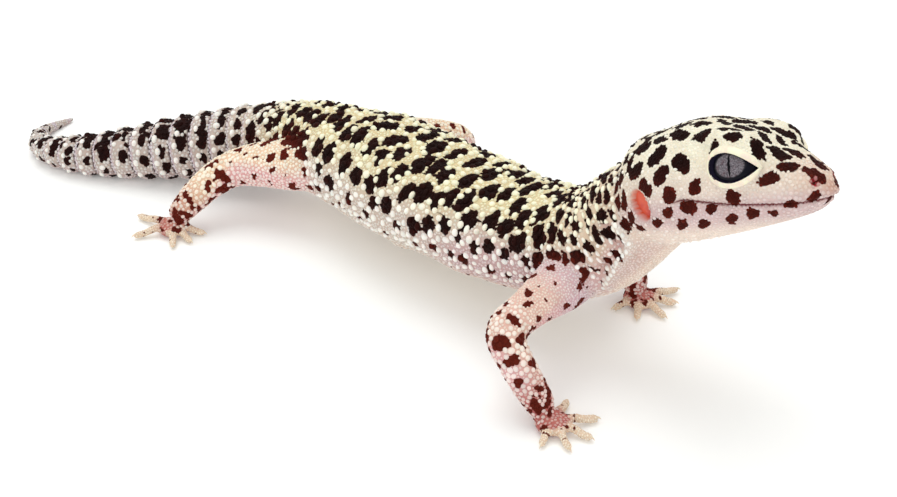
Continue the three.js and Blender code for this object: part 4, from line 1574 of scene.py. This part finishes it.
class Nodes:
    """A small helper that adds shader nodes to a tree and links them."""

    def __init__(self, tree: bpy.types.NodeTree) -> None:
        """Works on one tree."""
        self.tree = tree

    def add(self, kind: str, inputs: dict = None, **settings: object) -> bpy.types.Node:
        """A node of a kind, with its settings, and its inputs set or linked.

        Args:
            kind: The node's type name.
            inputs: A value or another node's output for each input, by name or number.
            settings: The node's own properties.

        Returns:
            The node.
        """
        node = self.tree.nodes.new(kind)
        for key, value in settings.items():
            setattr(node, key, value)
        for key, value in (inputs or {}).items():
            if isinstance(value, bpy.types.NodeSocket):
                self.tree.links.new(value, node.inputs[key])
            else:
                node.inputs[key].default_value = value
        return node

    def math(self, operation: str, *values: object) -> bpy.types.NodeSocket:
        """The result of one sum on numbers or outputs."""
        node = self.add("ShaderNodeMath", dict(enumerate(values)), operation=operation)
        return node.outputs[0]

    def blend(self, share: object, first: object, second: object) -> bpy.types.NodeSocket:
        """Two colours mixed by a share."""
        node = self.add("ShaderNodeMix", {0: share, 6: first, 7: second}, data_type="RGBA")
        return node.outputs[2]

    def ramp(self, value: object, low: float, high: float) -> bpy.types.NodeSocket:
        """A value from low to high, smoothly, as 0 to 1."""
        node = self.add("ShaderNodeMapRange", {0: value, 1: low, 2: high},
                        interpolation_type="SMOOTHSTEP")
        return node.outputs[0]


def rgba(colour: np.ndarray) -> tuple:
    """A linear colour with full opacity."""
    return (*map(float, colour), 1.0)


def marking_group() -> bpy.types.NodeTree:
    """The shader group that paints the dark markings over the ground colour.

    Its mask is 1 where the depth inside the markings, shifted a little by noise, is above 0.
    """
    tree = bpy.data.node_groups.new("gecko_markings", "ShaderNodeTree")
    for name, kind in (("Ground", "NodeSocketColor"), ("Depth", "NodeSocketFloat"),
                       ("Warm", "NodeSocketFloat"), ("Place", "NodeSocketVector"),
                       ("Edge", "NodeSocketFloat")):
        tree.interface.new_socket(name, in_out="INPUT", socket_type=kind)
    tree.interface.new_socket("Colour", in_out="OUTPUT", socket_type="NodeSocketColor")
    tree.interface.new_socket("Mask", in_out="OUTPUT", socket_type="NodeSocketFloat")
    nodes = Nodes(tree)
    given = nodes.add("NodeGroupInput").outputs
    noise = nodes.add("ShaderNodeTexNoise", {"Vector": given["Place"], "Scale": 1100.0,
                                             "Detail": 3.0})
    shift = nodes.math("MULTIPLY", nodes.math("SUBTRACT", noise.outputs["Fac"], 0.5), 0.3)
    depth = nodes.math("ADD", given["Depth"], nodes.math("MULTIPLY", shift, given["Edge"]))
    mask = nodes.ramp(depth, -0.07, 0.07)
    dark = nodes.blend(given["Warm"], rgba(Palette.black), rgba(Palette.brown))
    cloud = nodes.add("ShaderNodeTexNoise", {"Vector": given["Place"], "Scale": 420.0,
                                             "Detail": 4.0})
    much = nodes.math("ADD", nodes.math("MULTIPLY", given["Warm"], 0.4), 0.03)
    lighter = nodes.math("MULTIPLY", nodes.ramp(cloud.outputs["Fac"], 0.45, 0.8), much)
    dark = nodes.blend(lighter, dark, rgba(Palette.brown * 1.7))
    dust = nodes.math("MULTIPLY", nodes.ramp(cloud.outputs["Fac"], 0.35, 0.7), 0.25)
    ground = nodes.add("ShaderNodeMix", {0: dust, 6: given["Ground"], 7: rgba(Palette.flank)},
                       data_type="RGBA", blend_type="MULTIPLY").outputs[2]
    colour = nodes.blend(mask, ground, dark)
    nodes.add("NodeGroupOutput", {"Colour": colour, "Mask": mask})
    return tree


@dataclass(frozen=True)
class HideFinish:
    """Dry, slightly waxy skin with its markings.

    Attributes:
        name: The material's name.
        roughness: How dull it is.
        grain: The height of the fine grain, in metres.
        grain_scale: How many grains to a metre.
        edge: How uneven the markings' edges are.
        lift: How much the tips of scales lighten.
    """

    name: str
    roughness: float = 0.52
    grain: float = 0.00006
    grain_scale: float = 3200.0
    edge: float = 1.0
    lift: float = 0.0

    def material(self, group: bpy.types.NodeTree) -> bpy.types.Material:
        """The finish as a material that reads the hide's values."""
        material = bpy.data.materials.new(self.name)
        material.use_nodes = True
        nodes = Nodes(material.node_tree)
        shader = material.node_tree.nodes["Principled BSDF"]
        place = nodes.add("ShaderNodeTexCoord").outputs["Object"]
        read = {key: nodes.add("ShaderNodeAttribute", attribute_name=key)
                for key in ("ground", "dark", "warm", "tip")}
        paint = nodes.add("ShaderNodeGroup", node_tree=group)
        nodes.tree.links.new(read["ground"].outputs["Vector"], paint.inputs["Ground"])
        nodes.tree.links.new(read["dark"].outputs["Fac"], paint.inputs["Depth"])
        nodes.tree.links.new(read["warm"].outputs["Fac"], paint.inputs["Warm"])
        nodes.tree.links.new(place, paint.inputs["Place"])
        paint.inputs["Edge"].default_value = self.edge
        colour = paint.outputs["Colour"]
        if self.lift:
            up = nodes.math("MULTIPLY", read["tip"].outputs["Fac"], self.lift)
            gain = nodes.math("SUBTRACT", 1.0, paint.outputs["Mask"])
            colour = nodes.blend(nodes.math("MULTIPLY", up, gain), colour,
                                 rgba(Palette.knob))
        nodes.tree.links.new(colour, shader.inputs["Base Color"])
        cells = nodes.add("ShaderNodeTexVoronoi", {"Vector": place, "Scale": self.grain_scale})
        fine = nodes.add("ShaderNodeTexNoise", {"Vector": place, "Scale": self.grain_scale * 1.7,
                                                "Detail": 2.0})
        height = nodes.math("SUBTRACT", fine.outputs["Fac"], cells.outputs["Distance"])
        bump = nodes.add("ShaderNodeBump", {"Height": height, "Distance": self.grain,
                                            "Strength": 0.6})
        nodes.tree.links.new(bump.outputs["Normal"], shader.inputs["Normal"])
        dull = nodes.add("ShaderNodeMapRange", {0: fine.outputs["Fac"], 3: self.roughness - 0.1,
                                                4: self.roughness + 0.1})
        nodes.tree.links.new(dull.outputs[0], shader.inputs["Roughness"])
        shader.inputs["Specular IOR Level"].default_value = 0.05
        shader.inputs["Subsurface Weight"].default_value = 0.12
        shader.inputs["Subsurface Radius"].default_value = (1.0, 0.45, 0.3)
        shader.inputs["Subsurface Scale"].default_value = 0.0012
        return material


@dataclass(frozen=True)
class PlainFinish:
    """One colour with a little unevenness, for lids, claws and the eardrums.

    Attributes:
        name: The material's name.
        colour: Its main colour.
        second: The colour that it varies to.
        roughness: How dull it is.
        scale: How fine the unevenness is, per metre.
        coat: How much clear gloss lies over it.
    """

    name: str
    colour: tuple
    second: tuple
    roughness: float
    scale: float = 900.0
    coat: float = 0.0

    def material(self) -> bpy.types.Material:
        """The finish as a material."""
        material = bpy.data.materials.new(self.name)
        material.use_nodes = True
        nodes = Nodes(material.node_tree)
        shader = material.node_tree.nodes["Principled BSDF"]
        place = nodes.add("ShaderNodeTexCoord").outputs["Object"]
        noise = nodes.add("ShaderNodeTexNoise", {"Vector": place, "Scale": self.scale,
                                                 "Detail": 4.0})
        colour = nodes.blend(nodes.ramp(noise.outputs["Fac"], 0.35, 0.65), rgba(self.colour),
                             rgba(self.second))
        nodes.tree.links.new(colour, shader.inputs["Base Color"])
        dull = nodes.add("ShaderNodeMapRange", {0: noise.outputs["Fac"],
                                                3: self.roughness - 0.08,
                                                4: self.roughness + 0.08})
        nodes.tree.links.new(dull.outputs[0], shader.inputs["Roughness"])
        bump = nodes.add("ShaderNodeBump", {"Height": noise.outputs["Fac"], "Distance": 0.00005,
                                            "Strength": 0.5})
        nodes.tree.links.new(bump.outputs["Normal"], shader.inputs["Normal"])
        shader.inputs["Coat Weight"].default_value = self.coat
        shader.inputs["Subsurface Weight"].default_value = 0.1
        shader.inputs["Subsurface Scale"].default_value = 0.001
        return material


@dataclass(frozen=True)
class EyeFinish:
    """A wet eye: a grey iris with fine threads, a thin upright pupil and a dark rim.

    Attributes:
        name: The material's name.
        iris_long, iris_high: Half the iris's length and height, in millimetres.
        iris_at: How far the iris lies forward and up from the eye's middle.
        slit: Half the pupil's greatest width.
    """

    name: str = "gecko_eye"
    iris_long: float = 2.3
    iris_high: float = 1.85
    iris_at: tuple = (-0.4, 0.2)
    slit: float = 0.2

    def material(self) -> bpy.types.Material:
        """The finish as a material that reads each point's place in the eye."""
        material = bpy.data.materials.new(self.name)
        material.use_nodes = True
        nodes = Nodes(material.node_tree)
        shader = material.node_tree.nodes["Principled BSDF"]
        look = nodes.add("ShaderNodeAttribute", attribute_name="look").outputs["Vector"]
        parts = nodes.add("ShaderNodeSeparateXYZ", {0: look})
        forward = nodes.math("SUBTRACT", parts.outputs["Y"], self.iris_at[0])
        up = nodes.math("SUBTRACT", parts.outputs["Z"], self.iris_at[1])
        noise = nodes.add("ShaderNodeTexNoise", {"Vector": look, "Scale": 1.6, "Detail": 4.0})
        threads = nodes.add("ShaderNodeTexNoise", {"Vector": look, "Scale": 4.5, "Detail": 5.0,
                                                   "Distortion": 1.2})
        x = nodes.math("DIVIDE", forward, self.iris_long)
        y = nodes.math("DIVIDE", up, self.iris_high)
        far = nodes.math("SQRT", nodes.math("ADD", nodes.math("MULTIPLY", x, x),
                                            nodes.math("MULTIPLY", y, y)))
        grey = nodes.blend(nodes.ramp(threads.outputs["Fac"], 0.38, 0.66),
                           rgba(linear(78, 71, 77)), rgba(linear(138, 132, 138)))
        grey = nodes.blend(nodes.math("MULTIPLY", nodes.ramp(noise.outputs["Fac"], 0.5, 0.75), 0.5),
                           grey, rgba(linear(98, 64, 70)))
        rim = nodes.ramp(far, 0.86, 1.02)
        iris = nodes.blend(rim, grey, rgba(linear(7, 6, 20)))
        wave = nodes.math("MULTIPLY", nodes.math("SINE", nodes.math("MULTIPLY", up, 7.5)), 0.035)
        across = nodes.math("ABSOLUTE", nodes.math("ADD", forward, wave))
        narrowing = nodes.math("SUBTRACT", 1.0, nodes.math("MULTIPLY", y, y))
        width = nodes.math("MULTIPLY", nodes.math("MAXIMUM", narrowing, 0.0), self.slit)
        pupil = nodes.ramp(nodes.math("SUBTRACT", across, width), 0.05, -0.03)
        colour = nodes.blend(pupil, iris, rgba(linear(8, 6, 10)))
        nodes.tree.links.new(colour, shader.inputs["Base Color"])
        shader.inputs["Roughness"].default_value = 0.35
        shader.inputs["Specular IOR Level"].default_value = 0.05
        shader.inputs["Coat Weight"].default_value = 0.16
        shader.inputs["Coat Roughness"].default_value = 0.03
        return material


# ---------------------------------------------------------------- eyes, lids, ears and claws


class Eyes:
    """The eyeballs, the lids' rims and the eardrums, on both sides of the head."""

    sides = ((1, "left"), (-1, "right"))

    def globe(self, side: int) -> Shape:
        """An eyeball with a slight bulge in front, and its places in the eye's own frame."""
        radius = HEAD_FORM.globe_radius
        ball = Shape.ellipsoid((radius,) * 3, 64, 96)
        far = np.linalg.norm(ball.points[:, 1:], axis=1)
        ball.points[:, 0] += 0.12 * hump(far, 1.9) * (ball.points[:, 0] > 0)
        look = ball.points.copy()
        if side > 0:
            ball.triangles = ball.triangles[:, ::-1]
        points = HEAD_FORM.out_of_eye(ball.points, side)
        return Shape(points, ball.triangles, {"look": look})

    def rim(self, side: int) -> Shape:
        """The lid's thick margin: a tube along the slot's outline, on the lids' sphere."""
        count = 120
        outline = OPENING.outline(count)
        turn = np.arange(count) * (2 * np.pi / count)
        outward = np.stack([np.cos(turn) * 0.9, np.sin(turn)], axis=-1)
        over = smooth(np.sin(turn), -0.1, 0.8)
        thick = (0.47 + 0.14 * over) * (1 - 0.4 * smooth(np.cos(turn), 0.7, 1.0))
        flat = outline + outward * thick[:, None] * 0.95
        reach = HEAD_FORM.lid_radius - 0.12
        depth = np.sqrt(np.maximum(reach ** 2 - (flat ** 2).sum(axis=1), 0.6))
        path = np.stack([depth, flat[:, 0], flat[:, 1]], axis=-1)
        travel = unit(np.roll(path, -1, axis=0) - np.roll(path, 1, axis=0))
        out = unit(path)
        side_way = np.cross(travel, out)
        angle = np.arange(14) * (2 * np.pi / 14)
        ring = (np.cos(angle)[None, :, None] * side_way[:, None] * thick[:, None, None]
                + np.sin(angle)[None, :, None] * out[:, None] * 0.42 * thick[:, None, None] * 1.2)
        rings = path[:, None] + ring
        number = np.arange(count * 14).reshape(count, 14)
        a, b = number, np.roll(number, -1, axis=1)
        c, d = np.roll(np.roll(number, -1, axis=1), -1, axis=0), np.roll(number, -1, axis=0)
        faces = np.stack([a, b, c, a, c, d], axis=-1).reshape(-1, 3)
        if side > 0:
            faces = faces[:, ::-1]
        return Shape(HEAD_FORM.out_of_eye(rings.reshape(-1, 3), side), faces, {})

    def eardrum(self, side: int) -> Shape:
        """A thin slanting disc at the bottom of the ear."""
        disc = Shape.ellipsoid((1.6, 0.3, 2.7), 16, 32)
        local = disc.points @ turned("Y", -32).T
        local = local + np.array([1.05, 0, 1.15])
        local[:, 1] = side * (local[:, 1] + 8.75)
        faces = disc.triangles if side > 0 else disc.triangles[:, ::-1]
        return Shape(HEAD_FORM.outward(local), faces, {})

    def build(self) -> None:
        """Makes the six pieces and dresses them."""
        eye = EyeFinish().material()
        cream = PlainFinish("gecko_lid", linear(250, 244, 214), linear(244, 226, 206),
                            0.5).material()
        drum = PlainFinish("gecko_eardrum", linear(226, 96, 66), linear(206, 70, 58), 0.45,
                           500.0, 0.2).material()
        for side, name in self.sides:
            globe = closed_outward(self.globe(side)).piece(f"eyeball_{name}", "eye", eye)
            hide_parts(f"eye_{name}")
            closed_outward(self.rim(side)).piece(f"lid_{name}", "skin", cream)
            ear = closed_outward(self.eardrum(side)).piece(f"ear_membrane_{name}", "membrane", drum)
            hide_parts(f"eardrum_{name}")


def closed_outward(shape: Shape) -> Shape:
    """The closed shape with its faces outward: turned over if its volume comes out below 0."""
    a, b, c = (shape.points[shape.triangles[:, k]] for k in range(3))
    volume = dot(a - shape.points.mean(axis=0), np.cross(b - a, c - a)).sum()
    if volume < 0:
        return Shape(shape.points, shape.triangles[:, ::-1], shape.values)
    return shape


# ---------------------------------------------------------------- studio


class Studio:
    """A plain pale floor, soft light and the camera."""

    lens = 60.2
    sensor = 36.0
    camera_at = (193.0, -168.0, 145.9)
    azimuth = 44.1
    elevation = 31.2

    def floor(self) -> None:
        """A wide white floor at the height that the soles stand on."""
        mesh = bpy.data.meshes.new("floor")
        half = 3.0
        corners = [(-half, -half, 0), (half, -half, 0), (half, half, 0), (-half, half, 0)]
        mesh.from_pydata(corners, [], [(0, 1, 2, 3)])
        floor = bpy.data.objects.new("floor", mesh)
        bpy.context.scene.collection.objects.link(floor)
        material = bpy.data.materials.new("floor_white")
        material.use_nodes = True
        shader = material.node_tree.nodes["Principled BSDF"]
        shader.inputs["Base Color"].default_value = (0.915, 0.93, 0.915, 1)
        shader.inputs["Emission Color"].default_value = (0.98, 1, 0.98, 1)
        shader.inputs["Emission Strength"].default_value = 0.1
        shader.inputs["Roughness"].default_value = 0.9
        shader.inputs["Specular IOR Level"].default_value = 0.1
        floor.data.materials.append(material)

    def lights(self) -> None:
        """An even white sky and one large soft lamp above and behind."""
        world = bpy.data.worlds.new("studio")
        bpy.context.scene.world = world
        world.use_nodes = True
        back = world.node_tree.nodes["Background"]
        back.inputs["Color"].default_value = (1, 1, 1, 1)
        back.inputs["Strength"].default_value = 0.62
        for name, way, strength, spread in (("key", (-0.25, 0.15, 0.9), 1.25, 50),
                                            ("side", (0.5, -0.8, 0.7), 0.75, 60)):
            lamp = bpy.data.lights.new(name, "SUN")
            lamp.energy = strength
            lamp.angle = math.radians(spread)
            lamp_object = bpy.data.objects.new(name, lamp)
            lamp_object.rotation_mode = "QUATERNION"
            lamp_object.rotation_quaternion = (-Vector(way)).to_track_quat("-Z", "Y")
            bpy.context.scene.collection.objects.link(lamp_object)

    def camera(self) -> None:
        """The camera, above and to the right of the head."""
        data = bpy.data.cameras.new("camera")
        data.lens = self.lens
        data.sensor_width = self.sensor
        data.clip_start = 0.01
        camera = bpy.data.objects.new("camera", data)
        camera.location = (np.array(self.camera_at) - ORIGIN) * MM
        camera.rotation_euler = (math.radians(90 - self.elevation), 0, math.radians(self.azimuth))
        bpy.context.scene.collection.objects.link(camera)
        bpy.context.scene.camera = camera

    def build(self) -> None:
        """Makes the floor, the lights and the camera, and sets a plain view of the colours."""
        self.floor()
        self.lights()
        self.camera()
        bpy.context.scene.view_settings.view_transform = "Standard"


# ---------------------------------------------------------------- the whole animal


class Gecko:
    """The animal: its hide, coat, eyes and claws."""

    def __init__(self, nodes: list) -> None:
        """Takes the names of the solids that the hide stands for."""
        self.flesh = [n for n in nodes if not n.startswith(("eye_", "eardrum_"))]
        self.group = marking_group()

    def build(self) -> None:
        """Makes every piece in order."""
        skin = Hide().build()
        lay = Lay(skin.points)
        marks = Markings(skin, lay)
        ground = marks.ground()
        gap = marks.gap(ground)
        # The hide shows only between the scales, so it carries their colour with its painted shade.
        skin.values = {"ground": gap, "dark": marks.dark(), "warm": marks.warmth()}
        finish = HideFinish("gecko_hide").material(self.group)
        hide = skin.piece("hide", "skin", finish)
        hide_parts(*self.flesh)
        skin.values.update(ground=ground, gap=gap, unwrap=unwrapped(lay), knob=marks.knob())
        self.coat(skin, lay)
        Eyes().build()
        claws = Shape.joined([toe.claw() for limb in LIMBS for toe in limb.digits])
        horn = PlainFinish("gecko_claw", linear(240, 222, 196), linear(222, 198, 168), 0.35,
                           800.0, 0.3).material()
        closed_outward(claws).piece("claws", "claw", horn)

    def coat(self, skin: Shape, lay: Lay) -> None:
        """Sows every kind of scale and makes its piece."""
        coat = Coat(skin, lay)
        finish = HideFinish("gecko_scales", roughness=0.46, edge=0.35, lift=0.14,
                            grain=0.00002).material(self.group)
        place, height, x = lay.torso["place"], lay.height, lay.local[:, 0]
        eyes = np.ones(len(place))
        for side in (1, -1):
            eye = HEAD_FORM.in_eye(lay.local, side)
            near = (eye[:, 0] > 0) & (np.linalg.norm(eye, axis=1) < 7)
            eyes *= 1 - near * smooth(OPENING.inside(eye[:, 1], eye[:, 2]), -0.95, -0.75)
        ear = 1 - smooth(Hide.ear_inside(lay.local), -0.25, 0.0)
        line = np.abs(lay.local[:, 2] - HEAD_FORM.mouth_height(x))
        mouth = 1 - (x > 7.5) * smooth(line, 0.3, 0.2)
        face = lay.on_head * eyes * ear * mouth
        phase = TORSO.ring_phase(place)
        share = lay.limb_place / lay.limb_length
        toes = lay.on_foot * smooth(lay.toe_share, 0.28, 0.34)
        fold = Hide.gular(lay.local)
        throat = smooth(fold, 0.3, 0.6) * lay.on_torso * (place < 24)
        body = lay.on_torso * (1 - smooth(place, 97, 99)) - throat
        tail = lay.on_torso * smooth(place, 97, 99)
        upper = smooth(height, -0.55, -0.35)
        kinds = (
            (Crop("scales_fold", Lump.KNOB, 0.75, 0.6, 0.56, 0.24, 1.0, 3.0),
             hump(fold, 0.4) * (1 - lay.on_limb), None, True),
            (Crop("scales_tubercles", Lump.KNOB, 1.5, 0.45, 0.45, 0.32, 0.85, 0.24, 0.16),
             body * upper * smooth(place, 21, 25),
             (0.72 + 0.28 * smooth(place, 20, 34)) * (0.82 + 0.18 * smooth(height, -0.5, -0.1)),
             True),
            (Crop("scales_nape", Lump.KNOB, 1.2, 0.52, 0.33, 0.34, 0.85, 0.1, 0.18),
             body * upper * smooth(place, 3, 6) * smooth(place, 26, 23), None, True),
            (Crop("scales_tail_tubercles", Lump.KNOB, 2.0, 0.38, 0.32, 0.26, 0.85, 0.15),
             tail * smooth(height, -0.7, -0.5) * hump(phase - 0.58, 0.12) * 2.0 * (place < 160),
             0.55 + 0.45 * smooth(place, 160, 130), True),
            (Crop("scales_temple", Lump.KNOB, 1.4, 0.24, 0.24, 0.16, 0.4, 0.2),
             face * smooth(x, 12, 6), None, True),
            (Crop("scales_back", Lump.GRANULE, 0.52, 0.56, 0.56, 0.28), body * upper, None, False),
            (Crop("scales_belly", Lump.GRANULE, 0.68, 0.56, 0.62, 0.16), body * (1 - upper), None,
             False),
            (Crop("scales_head", Lump.GRANULE, 0.42, 0.58, 0.58, 0.2, 0.05), face + throat,
             1.0 + 0.35 * smooth(x, 17, 24), False),
            (Crop("scales_tail", Lump.GRANULE, 0.64, 0.58, 0.56, 0.25), tail,
             0.6 + 0.4 * smooth(place, 165, 140), False),
            (Crop("scales_limbs", Lump.COBBLE, 0.84, 0.58, 0.56, 0.26, 0.4, 0.05),
             lay.on_limb * (1 - (lay.nearest_limb < 2) * smooth(share, 0.5, 0.4)),
             0.66 + 0.42 * hump(share - 0.68, 0.2), True),
            (Crop("scales_limbs_fine", Lump.GRANULE, 0.4, 0.6, 0.6, 0.3, 0.1), lay.on_limb, None,
             False),
            (Crop("scales_feet", Lump.GRANULE, 0.5, 0.6, 0.56, 0.22), lay.on_foot * (1 - toes), None,
             False),
            (Crop("scales_toes", Lump.GRANULE, 0.36, 0.62, 0.5, 0.14, 0.05), toes, None, False),
        )
        for crop, zone, fit, keep in kinds:
            coat.sow(crop, zone, fit, keep).piece(crop.name, "skin", finish)


def main() -> None:
    """Loads the frame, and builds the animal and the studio."""
    logging.basicConfig(level=logging.INFO, format="%(name)s: %(message)s")
    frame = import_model()
    Studio().build()
    Gecko(list(frame["nodes"])).build()


if __name__ == "__main__":
    main()
